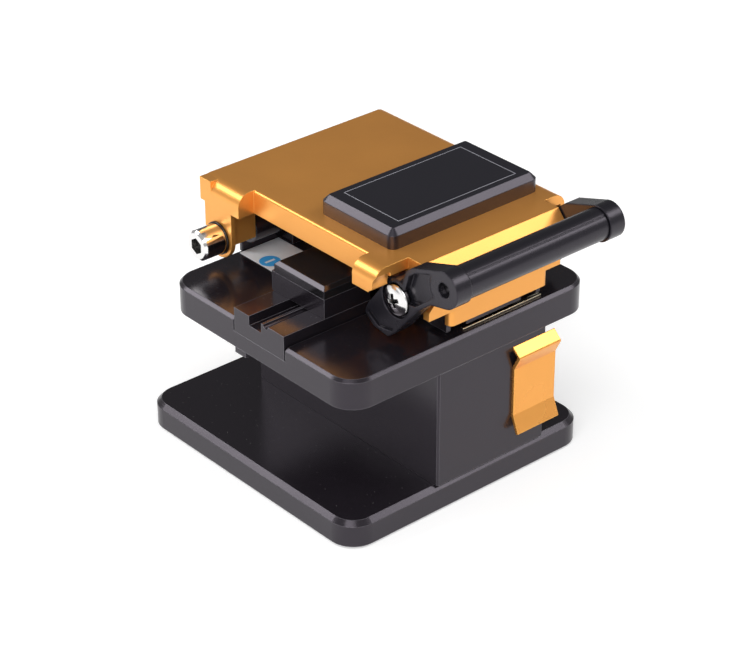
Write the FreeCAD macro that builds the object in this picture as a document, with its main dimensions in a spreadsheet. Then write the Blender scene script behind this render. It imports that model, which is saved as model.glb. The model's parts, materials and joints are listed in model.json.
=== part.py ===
# Fibre cleaver: a tabletop tool that scores and snaps an optical fibre.
# X runs along the fibre, -Y faces the user, Z is up.  The origin lies on the
# resting plane, under the middle of the deck, with the fibre above the X axis.
import FreeCAD, Part
import os
import Sketcher

DOC = FreeCAD.newDocument("fibre_cleaver")
SHEET = DOC.addObject("Spreadsheet::Sheet", "Sizes")

# Every size is in millimetres and is written once, here.
SIZES = {
    # base, feet and column
    "base_width": 63.0,
    "base_depth": 64.8,
    "base_thick": 5.5,
    "base_round": 5.5,
    "base_chamfer": 1.0,
    "front_reach": 27.5,
    "foot_proud": 0.5,
    "foot_sunk": 1.0,
    "foot_margin": 5.0,
    "foot_play": 0.1,
    "column_left": 9.2,
    "column_right": 19.4,
    "column_height": 25.3,
    "column_chamfer": 0.4,
    "column_screw_end": 9.0,
    # deck
    "deck_depth": 55.0,
    "deck_thick": 6.3,
    "deck_round": 5.5,
    "deck_chamfer": 0.6,
    "screw_radius": 1.5,
    "screw_head_radius": 2.75,
    "screw_head_high": 1.8,
    "screw_bite": 7.0,
    "screw_play": 0.15,
    "thread_play": 0.02,
    "head_play": 0.2,
    "head_sunk": 0.2,
    "tap_spare": 0.5,
    "deck_screw_left": 5.7,
    "deck_screw_right": 16.4,
    "deck_screw_y": 9.5,
    # rail and holder block
    "rail_end": 10.0,
    "rail_left": 6.4,
    "rail_right": 8.6,
    "rail_sunk": 2.9,
    "rail_proud": 2.4,
    "rail_side_gap": 0.4,
    "slot_half": 1.85,
    "slot_deep": 2.1,
    "groove_radius": 0.75,
    "groove_lip": 0.6,
    "holder_front": 21.5,
    "holder_left": 7.1,
    "holder_body_high": 4.2,
    "holder_cap_high": 2.4,
    "holder_cap_step": 0.8,
    "holder_chamfer": 0.7,
    "rail_key_wide": 3.2,
    "rail_key_high": 1.2,
    # label
    "label_left": 14.4,
    "label_wide": 10.0,
    "label_edge": 1.2,
    "label_deep": 10.3,
    "label_thick": 0.15,
    # blade gap and lower clamps
    "blade_x": 5.1,
    "blade_gap": 4.4,
    "slot_back": 15.5,
    "slot_front": 23.8,
    "well_deep": 8.0,
    "clamp_wide": 6.5,
    "clamp_half_deep": 3.0,
    "clamp_inset": 0.3,
    "clamp_round": 0.6,
    "clamp_drop": 0.2,
    "fibre_over_deck": 2.2,
    "pad_thick": 1.0,
    "pad_edge": 0.8,
    "pad_drop": 0.1,
    # slider
    "slider_left": 6.2,
    "slider_right": 19.4,
    "flange_left": 11.7,
    "flange_right": 22.6,
    "plate_front": 27.3,
    "plate_thick": 1.6,
    "plate_low": 2.9,
    "flange_low": 6.2,
    "flange_high": 3.1,
    "flange_chamfer": 1.4,
    "plate_round": 1.2,
    "carriage_deep": 5.4,
    "carriage_inset": 0.5,
    "carriage_low": 0.9,
    "carriage_high": 6.6,
    "guide_wide": 4.0,
    "guide_high": 2.2,
    "guide_gap": 0.08,
    "guide_front": 23.4,
    "guide_long": 19.4,
    "guide_inset": 1.6,
    "fork_cheek": 1.4,
    "fork_gap": 0.4,
    "fork_drop": 9.0,
    "fork_high": 6.0,
    "fork_beyond": 3.0,
    "wheel_radius": 7.5,
    "wheel_thick": 1.0,
    "wheel_bevel": 0.45,
    "hub_radius": 3.2,
    "hub_wide": 3.6,
    "axle_radius": 1.25,
    "axle_gap": 0.04,
    "wheel_back": 9.0,
    "strip_wide": 0.9,
    "strip_high": 0.4,
    "strip_front": 26.0,
    "strip_left": 1.6,
    "strip_right": 19.0,
    # hinge
    "hinge_inset": 2.6,
    "hinge_over_deck": 6.3,
    "pin_radius": 1.5,
    "pin_gap": 0.05,
    "pin_head_radius": 3.2,
    "pin_head_long": 5.2,
    "pin_head_bevel": 0.5,
    "pin_socket_radius": 1.75,
    "pin_socket_deep": 3.0,
    "press_play": 0.02,
    "collar_radius": 3.45,
    "collar_thick": 0.4,
    "bracket_gap": 0.3,
    "bracket_foot_wide": 18.0,
    "bracket_deep": 5.2,
    "bracket_radius": 3.3,
    # lid
    "lid_left": 20.6,
    "lid_right": 28.6,
    "lid_tail": 5.5,
    "lid_front": 28.4,
    "lid_over_deck": 17.9,
    "lid_top_thick": 2.2,
    "lid_thick": 5.0,
    "lid_wall": 2.2,
    "lid_roll": 2.8,
    "flank_round": 0.7,
    "cavity_front": 7.0,
    "cavity_back": 6.0,
    "lid_bevel": 2.9,
    "lid_bevel_deep": 2.6,
    "recess_deep": 3.9,
    "recess_back": 18.3,
    "recess_front": 15.7,
    "lug_thick": 1.0,
    "lug_half": 4.15,
    "lug_block_wide": 5.7,
    "lug_block_half": 3.3,
    "lug_block_low": 0.9,
    "square_corner": 3.4,
    "pivot_boss_wide": 4.0,
    "pivot_boss_low": 1.15,
    "pivot_boss_front": 1.6,
    "pivot_boss_back": 4.0,
    "pivot_boss_gap": 0.3,
    "ear_arc_radius": 3.8,
    "ear_arc_rise": 3.4,
    "ear_arc_ahead": 2.1,
    # badge
    "badge_left": 12.9,
    "badge_right": 25.1,
    "badge_front": 18.3,
    "badge_back": 2.7,
    "badge_high": 4.0,
    "badge_bevel": 1.2,
    "badge_round": 1.6,
    # handle
    "pivot_y": 22.9,
    "pivot_over_deck": 10.7,
    "arm_inner_left": 12.5,
    "arm_inner_right": 23.3,
    "arm_thick": 3.7,
    "arm_rim": 0.8,
    "arm_panel_deep": 1.4,
    "arm_seat_deep": 0.9,
    "arm_slot_deep": 0.7,
    "hub_round": 4.5,
    "bar_forward": 13.1,
    "bar_rise": 7.5,
    "boss_radius": 3.7,
    "boss_hole": 1.5,
    "rod_sunk": 1.6,
    "lobe_reach": 10.0,
    "lobe_round": 1.2,
    "notch_gap": 0.5,
    "notch_back": 0.9,
    "arm_float": 0.1,
    "grip_radius": 3.3,
    "pivot_screw_head": 3.25,
    "pivot_screw_high": 1.5,
    "pivot_shank": 1.0,
    "pivot_gap": 0.06,
    "pivot_bite": 2.6,
    # pieces inside the lid
    "upper_pad_gap": 0.3,
    "anvil_wide": 2.4,
    "anvil_half_deep": 2.2,
    "anvil_lift": 1.2,
    "anvil_top_gap": 0.3,
    "anvil_tip_round": 0.8,
    "anvil_gap": 0.05,
    "sleeve_wall": 1.0,
    "sleeve_lift": 3.0,
    "magnet_radius": 2.5,
    "magnet_high": 2.0,
    "magnet_right": 14.0,
    "magnet_back": 10.0,
    # clip
    "clip_left": 10.3,
    "clip_wide": 11.2,
    "clip_thick": 0.6,
    "clip_stand": 2.1,
    "clip_top": 1.3,
    "clip_crest": 3.2,
    "clip_flat_top": 6.2,
    "clip_flat_low": 8.6,
    "clip_low": 4.8,
    "clip_lip": 0.3,
    "clip_bend": 0.5,
    "clip_crest_thick": 0.8,
}


class Size:
    """A length in millimetres together with the spreadsheet formula behind it."""

    def __init__(self, value, formula):
        self.value = float(value)
        self.formula = formula

    def __add__(self, other):
        other = size(other)
        return Size(self.value + other.value, f"({self.formula} + {other.formula})")

    def __sub__(self, other):
        other = size(other)
        return Size(self.value - other.value, f"({self.formula} - {other.formula})")

    def __mul__(self, other):
        other = size(other)
        return Size(self.value * other.value, f"{self.formula} * {other.formula}")

    def __truediv__(self, other):
        other = size(other)
        return Size(self.value / other.value, f"({self.formula} / {other.formula})")

    def __neg__(self):
        return Size(-self.value, f"(0 - {self.formula})")


def size(thing):
    """Turns a plain number into a Size and leaves a Size alone."""
    if isinstance(thing, Size):
        return thing
    return Size(thing, repr(float(thing)))


for row, (alias, number) in enumerate(SIZES.items(), start=1):
    SHEET.set(f"A{row}", alias)
    SHEET.set(f"B{row}", str(number))
    SHEET.setAlias(f"B{row}", alias)
DOC.recompute()


class Named:
    """Gives every spreadsheet size as an attribute."""


S = Named()
for alias, number in SIZES.items():
    setattr(S, alias, Size(number, f"Sizes.{alias}"))

# Levels and planes that several pieces share.
BASE_TOP = S.foot_proud + S.base_thick
DECK_LOW = BASE_TOP + S.column_height
DECK_TOP = DECK_LOW + S.deck_thick
LEFT = -(S.base_width / 2)
RIGHT = S.base_width / 2
FRONT = -S.front_reach
BASE_BACK = FRONT + S.base_depth
DECK_BACK = FRONT + S.deck_depth
RAIL_TOP = DECK_TOP + S.rail_proud
LID_TOP = DECK_TOP + S.lid_over_deck
LID_LOW = LID_TOP - S.lid_thick
HINGE_Y = DECK_BACK - S.hinge_inset
HINGE_Z = DECK_TOP + S.hinge_over_deck
LID_BACK = HINGE_Y + S.lid_tail
PIVOT_Y = -S.pivot_y
PIVOT_Z = DECK_TOP + S.pivot_over_deck
BAR_Y = PIVOT_Y - S.bar_forward
BAR_Z = PIVOT_Z + S.bar_rise
FIBRE_Z = DECK_TOP + S.fibre_over_deck
WHEEL_Z = FIBRE_Z - S.wheel_radius
WHEEL_Y = -S.wheel_back
PARTS = []


def bind(thing, prop, length):
    thing.setExpression(prop, size(length).formula)


def place(thing, x=0, y=0, z=0):
    """Puts a sub-part at its seat and binds that seat to the sheet."""
    for axis, length in (("x", x), ("y", y), ("z", z)):
        bind(thing, f".Placement.Base.{axis}", length)
    return thing


def keep(thing):
    PARTS.append(thing)
    return thing


def new_body(label):
    body = DOC.addObject("PartDesign::Body", label)
    body.Label = label
    return body


def new_sketch(body, plane, name, level=0):
    """A sketch on one of the body's own origin planes, moved to a level along X, Y or Z."""
    sketch = body.newObject("Sketcher::SketchObject", name)
    for feature in body.Origin.OriginFeatures:
        if feature.Role == plane:
            sketch.AttachmentSupport = [(feature, "")]
    sketch.MapMode = "FlatFace"
    offset = -size(level) if plane == "XZ_Plane" else size(level)
    bind(sketch, "AttachmentOffset.Base.z", offset)
    return sketch


def fix_point(sketch, geometry, end, x, y):
    for kind, length in (("DistanceX", size(x)), ("DistanceY", size(y))):
        number = sketch.addConstraint(
            Sketcher.Constraint(kind, -1, 1, geometry, end, length.value)
        )
        sketch.setExpression(f"Constraints[{number}]", length.formula)


def outline(sketch, points):
    """A closed outline of straight lines with every corner held by the sheet."""
    corners = [(size(x), size(y)) for x, y in points]
    spots = [FreeCAD.Vector(x.value, y.value, 0) for x, y in corners]
    first = sketch.GeometryCount
    for start, end in zip(spots, spots[1:] + spots[:1]):
        sketch.addGeometry(Part.LineSegment(start, end), False)
    count = len(spots)
    for number in range(count):
        line = first + number
        following = first + (number + 1) % count
        sketch.addConstraint(Sketcher.Constraint("Coincident", line, 2, following, 1))
    for number, (x, y) in enumerate(corners):
        fix_point(sketch, first + number, 1, x, y)
    return sketch


def rectangle(sketch, x0, x1, y0, y1):
    return outline(sketch, [(x0, y0), (x1, y0), (x1, y1), (x0, y1)])


def circle(sketch, x, y, radius):
    x, y, radius = size(x), size(y), size(radius)
    centre = FreeCAD.Vector(x.value, y.value, 0)
    ring = sketch.addGeometry(
        Part.Circle(centre, FreeCAD.Vector(0, 0, 1), radius.value), False
    )
    number = sketch.addConstraint(Sketcher.Constraint("Radius", ring, radius.value))
    sketch.setExpression(f"Constraints[{number}]", radius.formula)
    fix_point(sketch, ring, 3, x, y)
    return sketch


def pad(body, sketch, length):
    feature = body.newObject("PartDesign::Pad", sketch.Name + "_pad")
    feature.Profile = sketch
    bind(feature, "Length", length)
    DOC.recompute()
    return feature


def pocket(body, sketch, length, reverse=False):
    """A pocket that must take material away."""
    before = body.Tip.Shape.Volume
    feature = body.newObject("PartDesign::Pocket", sketch.Name + "_pocket")
    feature.Profile = sketch
    feature.Reversed = reverse
    bind(feature, "Length", length)
    DOC.recompute()
    if feature.Shape.Volume >= before:
        raise RuntimeError(f"{sketch.Name} cuts nothing")
    return feature


def edges_at(feature, axis, spots):
    """Names of the straight edges along an axis that pass through the given spots.

    A spot is (x, y, z); None leaves that coordinate free.
    """
    along = "XYZ".index(axis)
    names = []
    for number, edge in enumerate(feature.Shape.Edges, start=1):
        if edge.Curve.TypeId != "Part::GeomLine":
            continue
        if abs(abs(edge.tangentAt(edge.FirstParameter)[along]) - 1) > 1e-6:
            continue
        centre = edge.CenterOfMass
        for spot in spots:
            gaps = [
                abs(centre[i] - size(value).value)
                for i, value in enumerate(spot)
                if value is not None
            ]
            if max(gaps) < 0.02:
                names.append(f"Edge{number}")
                break
    return names


def top_rim(feature, z):
    """Names of all edges of a level face at height z."""
    height = size(z).value
    names = []
    for number, edge in enumerate(feature.Shape.Edges, start=1):
        box = edge.BoundBox
        if abs(box.ZMin - height) < 1e-4 and abs(box.ZMax - height) < 1e-4:
            names.append(f"Edge{number}")
    return names


def dress(body, kind, base, edges, length, prop="Radius"):
    """A PartDesign fillet or chamfer on the named edges."""
    if not edges:
        raise RuntimeError(f"{body.Label}: no edge to dress")
    feature = body.newObject(f"PartDesign::{kind}", f"{body.Name}_{kind.lower()}")
    feature.Base = (base, edges)
    bind(feature, prop, length)
    DOC.recompute()
    return feature


def fillet(body, base, edges, radius):
    return dress(body, "Fillet", base, edges, radius, "Radius")


def chamfer(body, base, edges, length):
    return dress(body, "Chamfer", base, edges, length, "Size")


def cylinder(name, radius, height, x, y, z, along="Z"):
    """A plain round bar that starts at (x, y, z)."""
    bar = DOC.addObject("Part::Cylinder", name)
    bind(bar, "Radius", radius)
    bind(bar, "Height", height)
    if along == "X":
        bar.Placement.Rotation = FreeCAD.Rotation(FreeCAD.Vector(0, 1, 0), 90)
    return place(bar, x, y, z)


def block(name, x0, x1, y0, y1, z0, z1):
    """A plain box between two corners."""
    box = DOC.addObject("Part::Box", name)
    bind(box, "Length", size(x1) - x0)
    bind(box, "Width", size(y1) - y0)
    bind(box, "Height", size(z1) - z0)
    return place(box, x0, y0, z0)


def group(label, members):
    """Separate solids that share one node."""
    bundle = DOC.addObject("Part::Compound", label)
    bundle.Label = label
    bundle.Links = members
    return bundle


def union(label, members):
    fused = DOC.addObject("Part::MultiFuse", label)
    fused.Label = label
    fused.Shapes = members
    return fused


def cut(label, base, tool):
    result = DOC.addObject("Part::Cut", label)
    result.Label = label
    result.Base = base
    result.Tool = tool
    return result


# ---------------------------------------------------------------- stand


def column_screw_spots():
    """The two screws that come up through the base into the column."""
    middle = (S.column_right - S.column_left) / 2
    return [(middle, FRONT + S.column_screw_end), (middle, DECK_BACK - S.column_screw_end)]


def foot_outline(body, name, gap=0):
    margin = S.foot_margin + gap
    sketch = new_sketch(body, "XY_Plane", name)
    rectangle(sketch, LEFT + margin, RIGHT - margin, FRONT + margin, BASE_BACK - margin)
    return sketch


def base_plate():
    """The rounded bottom plate with its foot seat and screw seats."""
    body = new_body("base_plate")
    rectangle(new_sketch(body, "XY_Plane", "base_outline"), LEFT, RIGHT, FRONT, BASE_BACK)
    slab = pad(body, DOC.base_outline, S.base_thick)
    corners = [(x, y, None) for x in (LEFT, RIGHT) for y in (FRONT, BASE_BACK)]
    rounded = fillet(body, slab, edges_at(slab, "Z", corners), S.base_round)
    chamfer(body, rounded, top_rim(rounded, S.base_thick), S.base_chamfer)
    pocket(body, foot_outline(body, "base_foot_seat"), S.foot_sunk, reverse=True)
    heads = new_sketch(body, "XY_Plane", "base_head_seats")
    holes = new_sketch(body, "XY_Plane", "base_screw_holes")
    for x, y in column_screw_spots():
        circle(heads, x, y, S.screw_head_radius + S.head_play)
        circle(holes, x, y, S.screw_radius + S.screw_play)
    pocket(body, heads, S.foot_sunk + S.head_sunk + S.screw_head_high, reverse=True)
    pocket(body, holes, S.base_thick, reverse=True)
    place(body, 0, 0, S.foot_proud)
    return keep(body)


def foot_pad():
    """The rubber sheet let into the underside, which the tool stands on."""
    body = new_body("foot_pad")
    high = S.foot_proud + S.foot_sunk
    pad(body, foot_outline(body, "foot_outline", S.foot_play), high)
    return keep(body)


def column():
    """The post between base and deck, with the well that the blade fork dips into."""
    body = new_body("column")
    left, right = -S.column_left, S.column_right
    outline_sketch = new_sketch(body, "XY_Plane", "column_outline")
    rectangle(outline_sketch, left, right, FRONT, DECK_BACK)
    post = pad(body, outline_sketch, S.column_height)
    upright = [(x, y, None) for x in (left, right) for y in (FRONT, DECK_BACK)]
    chamfer(body, post, edges_at(post, "Z", upright), S.column_chamfer)
    well = new_sketch(body, "XY_Plane", "column_well", S.column_height)
    half = S.blade_gap
    rectangle(well, S.blade_x - half, S.blade_x + half, -S.slot_front, S.slot_back)
    pocket(body, well, S.well_deep)
    tapped = new_sketch(body, "XY_Plane", "column_tapped_low")
    for x, y in column_screw_spots():
        circle(tapped, x, y, S.screw_radius)
    pocket(body, tapped, S.screw_bite, reverse=True)
    upper = new_sketch(body, "XY_Plane", "column_tapped_high", S.column_height)
    for x, y in deck_screw_spots():
        circle(upper, x, y, S.screw_radius)
    pocket(body, upper, S.screw_bite)
    place(body, 0, 0, BASE_TOP)
    return keep(body)


def machine_screw(name, x, y, shoulder, reach, upward):
    """A cap screw whose shank leaves the shoulder upward or downward for its reach."""
    shoulder = size(shoulder)
    head_low = shoulder - S.screw_head_high if upward else shoulder
    shank_low = shoulder if upward else shoulder - reach
    head = cylinder(name + "_head", S.screw_head_radius, S.screw_head_high, x, y, head_low)
    shank = cylinder(name + "_shank", S.screw_radius - S.thread_play, reach, x, y, shank_low)
    return union(name, [head, shank])


def base_screws():
    shoulder = S.foot_proud + S.foot_sunk + S.head_sunk + S.screw_head_high
    reach = BASE_TOP + S.screw_bite - S.tap_spare - shoulder
    screws = [
        machine_screw(f"base_screw_{n}", x, y, shoulder, reach, upward=True)
        for n, (x, y) in enumerate(column_screw_spots())
    ]
    return keep(group("base_screws", screws))


def deck_screw_spots():
    """The two screws behind the clamps that go down into the column."""
    return [(x, S.deck_screw_y) for x in (-S.deck_screw_left, S.deck_screw_right)]


def deck_plate():
    """The raised working plate with the rail seat and the blade slot."""
    body = new_body("deck_plate")
    sketch = new_sketch(body, "XY_Plane", "deck_outline")
    rectangle(sketch, LEFT, RIGHT, FRONT, DECK_BACK)
    slab = pad(body, sketch, S.deck_thick)
    corners = [(x, y, None) for x in (LEFT, RIGHT) for y in (FRONT, DECK_BACK)]
    rounded = fillet(body, slab, edges_at(slab, "Z", corners), S.deck_round)
    chamfer(body, rounded, top_rim(rounded, S.deck_thick), S.deck_chamfer)
    seat = new_sketch(body, "XY_Plane", "deck_rail_seat", S.deck_thick)
    gap = S.rail_side_gap
    rectangle(seat, LEFT - 1, -S.rail_end + gap, -S.rail_right - gap, S.rail_left + gap)
    pocket(body, seat, S.rail_sunk)
    slot = new_sketch(body, "XY_Plane", "deck_blade_slot", S.deck_thick)
    rectangle(slot, S.blade_x - S.blade_gap, S.blade_x + S.blade_gap, -S.slot_front, S.slot_back)
    pocket(body, slot, S.deck_thick)
    heads = new_sketch(body, "XY_Plane", "deck_head_seats", S.deck_thick)
    holes = new_sketch(body, "XY_Plane", "deck_screw_holes", S.deck_thick)
    for x, y in deck_screw_spots():
        circle(heads, x, y, S.screw_head_radius + S.head_play)
        circle(holes, x, y, S.screw_radius + S.screw_play)
    pocket(body, heads, S.screw_head_high + S.head_sunk)
    pocket(body, holes, S.deck_thick)
    place(body, 0, 0, DECK_LOW)
    return keep(body)


def deck_screws():
    shoulder = DECK_TOP - S.screw_head_high - S.head_sunk
    reach = shoulder - DECK_LOW + S.screw_bite - S.tap_spare
    screws = [
        machine_screw(f"deck_screw_{n}", x, y, shoulder, reach, upward=False)
        for n, (x, y) in enumerate(deck_screw_spots())
    ]
    return keep(group("deck_screws", screws))


def fibre_rail():
    """The guide block with the jacket slot and the small round fibre groove beside it."""
    body = new_body("fibre_rail")
    high = S.rail_sunk + S.rail_proud
    sketch = new_sketch(body, "YZ_Plane", "rail_section", LEFT)
    floor = high - S.slot_deep
    outline(sketch, [
        (-S.rail_right, 0),
        (S.rail_left, 0),
        (S.rail_left, high),
        (S.slot_half, high),
        (S.slot_half, floor),
        (-S.slot_half, floor),
        (-S.slot_half, high),
        (-S.rail_right, high),
    ])
    pad(body, sketch, -LEFT - S.rail_end)
    groove = new_sketch(body, "YZ_Plane", "rail_groove", LEFT)
    circle(groove, -S.slot_half - S.groove_lip - S.groove_radius, high, S.groove_radius)
    pocket(body, groove, -LEFT - S.rail_end, reverse=True)
    place(body, 0, 0, DECK_TOP - S.rail_sunk)
    return keep(body)


def holder_block():
    """The lower half of the fibre holder; the jacket slot runs under it."""
    body = new_body("holder_block")
    sketch = new_sketch(body, "XY_Plane", "holder_outline")
    rectangle(sketch, -S.holder_front, -S.rail_end, -S.rail_right, S.holder_left)
    pad(body, sketch, S.holder_body_high)
    place(body, 0, 0, RAIL_TOP)
    return keep(body)


def holder_cap():
    body = new_body("holder_cap")
    sketch = new_sketch(body, "XY_Plane", "cap_outline")
    left = S.holder_left - S.holder_cap_step
    rectangle(sketch, -S.holder_front, -S.rail_end, -S.rail_right, left)
    plate = pad(body, sketch, S.holder_cap_high)
    chamfer(body, plate, top_rim(plate, S.holder_cap_high), S.holder_chamfer)
    place(body, 0, 0, RAIL_TOP + S.holder_body_high)
    return keep(body)


def rail_key():
    side = S.rail_key_wide
    key = block("rail_key", LEFT, LEFT + side, S.rail_left - side, S.rail_left,
                DECK_LOW - S.rail_key_high, DECK_LOW)
    return keep(key)


def caution_label():
    back = DECK_BACK - S.label_edge
    label = block("caution_label", -S.label_left, -S.label_left + S.label_wide,
                  back - S.label_deep, back, DECK_TOP, DECK_TOP + S.label_thick)
    return keep(label)


def clamp_sides():
    """The X limits of the left and the right clamp, on both sides of the blade gap."""
    inner = S.blade_gap + S.clamp_inset
    left = (S.blade_x - inner - S.clamp_wide, S.blade_x - inner)
    right = (S.blade_x + inner, S.blade_x + inner + S.clamp_wide)
    return {"left": left, "right": right}


def lower_clamps():
    for side, (x0, x1) in clamp_sides().items():
        body = new_body(f"lower_clamp_{side}")
        sketch = new_sketch(body, "XY_Plane", f"lower_clamp_{side}_outline")
        rectangle(sketch, x0, x1, -S.clamp_half_deep, S.clamp_half_deep)
        top = S.fibre_over_deck - S.clamp_drop
        pad(body, sketch, top)
        seat = new_sketch(body, "XY_Plane", f"lower_clamp_{side}_seat", top)
        half = S.clamp_half_deep - S.pad_edge
        rectangle(seat, x0 + S.pad_edge, x1 - S.pad_edge, -half, half)
        pocket(body, seat, S.pad_thick)
        place(body, 0, 0, DECK_TOP)
        keep(body)


def lower_clamp_pads():
    pads = []
    low = FIBRE_Z - S.clamp_drop - S.pad_thick
    half = S.clamp_half_deep - S.pad_edge
    for side, (x0, x1) in clamp_sides().items():
        pads.append(block(f"lower_pad_{side}", x0 + S.pad_edge, x1 - S.pad_edge, -half, half,
                          low, FIBRE_Z - S.pad_drop))
    return keep(group("lower_clamp_pads", pads))


def guide_sides():
    left = -S.slider_left + S.guide_inset
    right = S.slider_right - S.guide_inset - S.guide_wide
    return {"left": left, "right": right}


def slide_rails():
    bars = []
    start = -S.guide_front
    for side, x in guide_sides().items():
        bars.append(block(f"slide_rail_{side}", x, x + S.guide_wide, start,
                          start + S.guide_long, DECK_TOP, DECK_TOP + S.guide_high))
    return keep(group("slide_rails", bars))


def stop_strip():
    strip = block("stop_strip", -S.strip_left, S.strip_right, -S.strip_front,
                  -S.strip_front + S.strip_wide, DECK_TOP, DECK_TOP + S.strip_high)
    return keep(strip)


def hinge_bracket():
    """The bracket on the back of the deck: a foot with a barrel that fills the hinge."""
    body = new_body("hinge_bracket")
    inside = S.lug_thick + S.lug_block_wide + S.bracket_gap
    left = -S.lid_left + inside
    wide = S.lid_right - inside - left
    half = S.bracket_deep / 2
    foot_left = S.blade_x - S.bracket_foot_wide / 2
    foot = new_sketch(body, "YZ_Plane", "bracket_foot", foot_left)
    rectangle(foot, HINGE_Y - half, HINGE_Y + half, 0, S.hinge_over_deck)
    pad(body, foot, S.bracket_foot_wide)
    eye = new_sketch(body, "YZ_Plane", "bracket_eye", left)
    circle(eye, HINGE_Y, S.hinge_over_deck, S.bracket_radius)
    pad(body, eye, wide)
    bore = new_sketch(body, "YZ_Plane", "bracket_bore", left)
    circle(bore, HINGE_Y, S.hinge_over_deck, S.pin_radius + S.pin_gap)
    pocket(body, bore, wide, reverse=True)
    place(body, 0, 0, DECK_TOP)
    return keep(body)


def scrap_clip():
    """Bent spring sheet on the column: crest at the top, flared lip at the bottom."""
    body = new_body("scrap_clip")
    face = FRONT
    out = face - S.clip_stand
    thick = S.clip_thick
    top = S.column_height - S.clip_top
    crest = S.column_height - S.clip_crest
    flat_top = S.column_height - S.clip_flat_top
    sketch = new_sketch(body, "YZ_Plane", "clip_profile", S.clip_left)
    outline(sketch, [
        (face, top),
        (out, crest),
        (face - thick, flat_top),
        (face - thick, S.clip_flat_low),
        (out, S.clip_low),
        (out + thick, S.clip_low - S.clip_lip),
        (face, S.clip_flat_low - S.clip_lip),
        (face, flat_top + S.clip_lip),
        (out + S.clip_crest_thick, crest),
        (face, top - S.clip_crest_thick),
    ])
    sheet = pad(body, sketch, S.clip_wide)
    crest_edge = edges_at(sheet, "X", [(None, out, crest)])
    fillet(body, sheet, crest_edge, S.clip_bend)
    place(body, 0, 0, BASE_TOP)
    return keep(body)


# ---------------------------------------------------------------- lid


def lid_slab(body):
    """The plain slab of the lid with its bevelled front edge."""
    left, right = -S.lid_left, S.lid_right
    front, back = -S.lid_front, LID_BACK
    sketch = new_sketch(body, "XY_Plane", "lid_outline", -S.lid_thick)
    rectangle(sketch, left, right, front, back)
    pad(body, sketch, S.lid_thick)
    bevel = new_sketch(body, "YZ_Plane", "lid_front_bevel", left - 1)
    outline(bevel, [
        (front - 1, 1),
        (front + S.lid_bevel_deep, 1),
        (front + S.lid_bevel_deep, 0),
        (front, -S.lid_bevel),
        (front - 1, -S.lid_bevel),
    ])
    pocket(body, bevel, right - left + 2, reverse=True)
    recess = new_sketch(body, "XY_Plane", "lid_recess")
    rectangle(recess, left - 1, left + S.recess_deep, -S.recess_front, S.recess_back)
    pocket(body, recess, S.lid_thick)


def lid_edges(body):
    """Rolls the long top edges, breaks the edge of the recess and squares the rear corner."""
    left, right = -S.lid_left, S.lid_right
    flank = left + S.recess_deep
    fillet(body, body.Tip, edges_at(body.Tip, "Y", [(flank, None, 0)]), S.flank_round)
    rolls = edges_at(body.Tip, "Y", [(left, None, 0), (right, None, 0)])
    fillet(body, body.Tip, rolls, S.lid_roll)
    square = new_sketch(body, "XY_Plane", "lid_square_corner", -S.lid_thick)
    rectangle(square, left, left + S.lid_roll, LID_BACK - S.square_corner, LID_BACK)
    pad(body, square, S.lid_thick - 0.1)


def lid_underside(body):
    """The hollow below the top and the two bosses for the handle screws."""
    left, right = -S.lid_left, S.lid_right
    low = -S.lid_thick
    cavity = new_sketch(body, "XY_Plane", "lid_cavity", low)
    rectangle(cavity, left + S.recess_deep + S.lid_wall, right - S.lid_wall,
              -S.lid_front + S.cavity_front, HINGE_Y - S.cavity_back)
    pocket(body, cavity, S.lid_thick - S.lid_top_thick, reverse=True)
    boss_low = PIVOT_Z - LID_TOP - S.pivot_boss_low
    gap = S.pivot_boss_gap
    for name, x0, x1 in (
        ("left", -S.arm_inner_left + gap, -S.arm_inner_left + gap + S.pivot_boss_wide),
        ("right", S.arm_inner_right - gap - S.pivot_boss_wide, S.arm_inner_right - gap),
    ):
        boss = new_sketch(body, "XY_Plane", f"pivot_boss_{name}", boss_low)
        rectangle(boss, x0, x1, PIVOT_Y - S.pivot_boss_front, PIVOT_Y + S.pivot_boss_back)
        pad(body, boss, -S.lid_top_thick - boss_low)


def hinge_lugs(body):
    """The rounded lugs at both rear corners and the thicker blocks inside them."""
    hinge_low = HINGE_Z - LID_TOP
    low = -S.lid_thick
    thick, wide = S.lug_thick, S.lug_block_wide
    for name, lug_x, block_x in (
        ("left", -S.lid_left, -S.lid_left + thick),
        ("right", S.lid_right - thick, S.lid_right - thick - wide),
    ):
        plate = new_sketch(body, "YZ_Plane", f"lug_{name}", lug_x)
        rectangle(plate, HINGE_Y - S.lug_half, HINGE_Y + S.lug_half, hinge_low, low + 1)
        pad(body, plate, thick)
        eye = new_sketch(body, "YZ_Plane", f"lug_{name}_eye", lug_x)
        circle(eye, HINGE_Y, hinge_low, S.lug_half)
        pad(body, eye, thick)
        block_sketch = new_sketch(body, "YZ_Plane", f"lug_{name}_block", block_x)
        half = S.lug_block_half
        rectangle(block_sketch, HINGE_Y - half, HINGE_Y + half, hinge_low - S.lug_block_low, low + 1)
        pad(body, block_sketch, wide)


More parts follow.
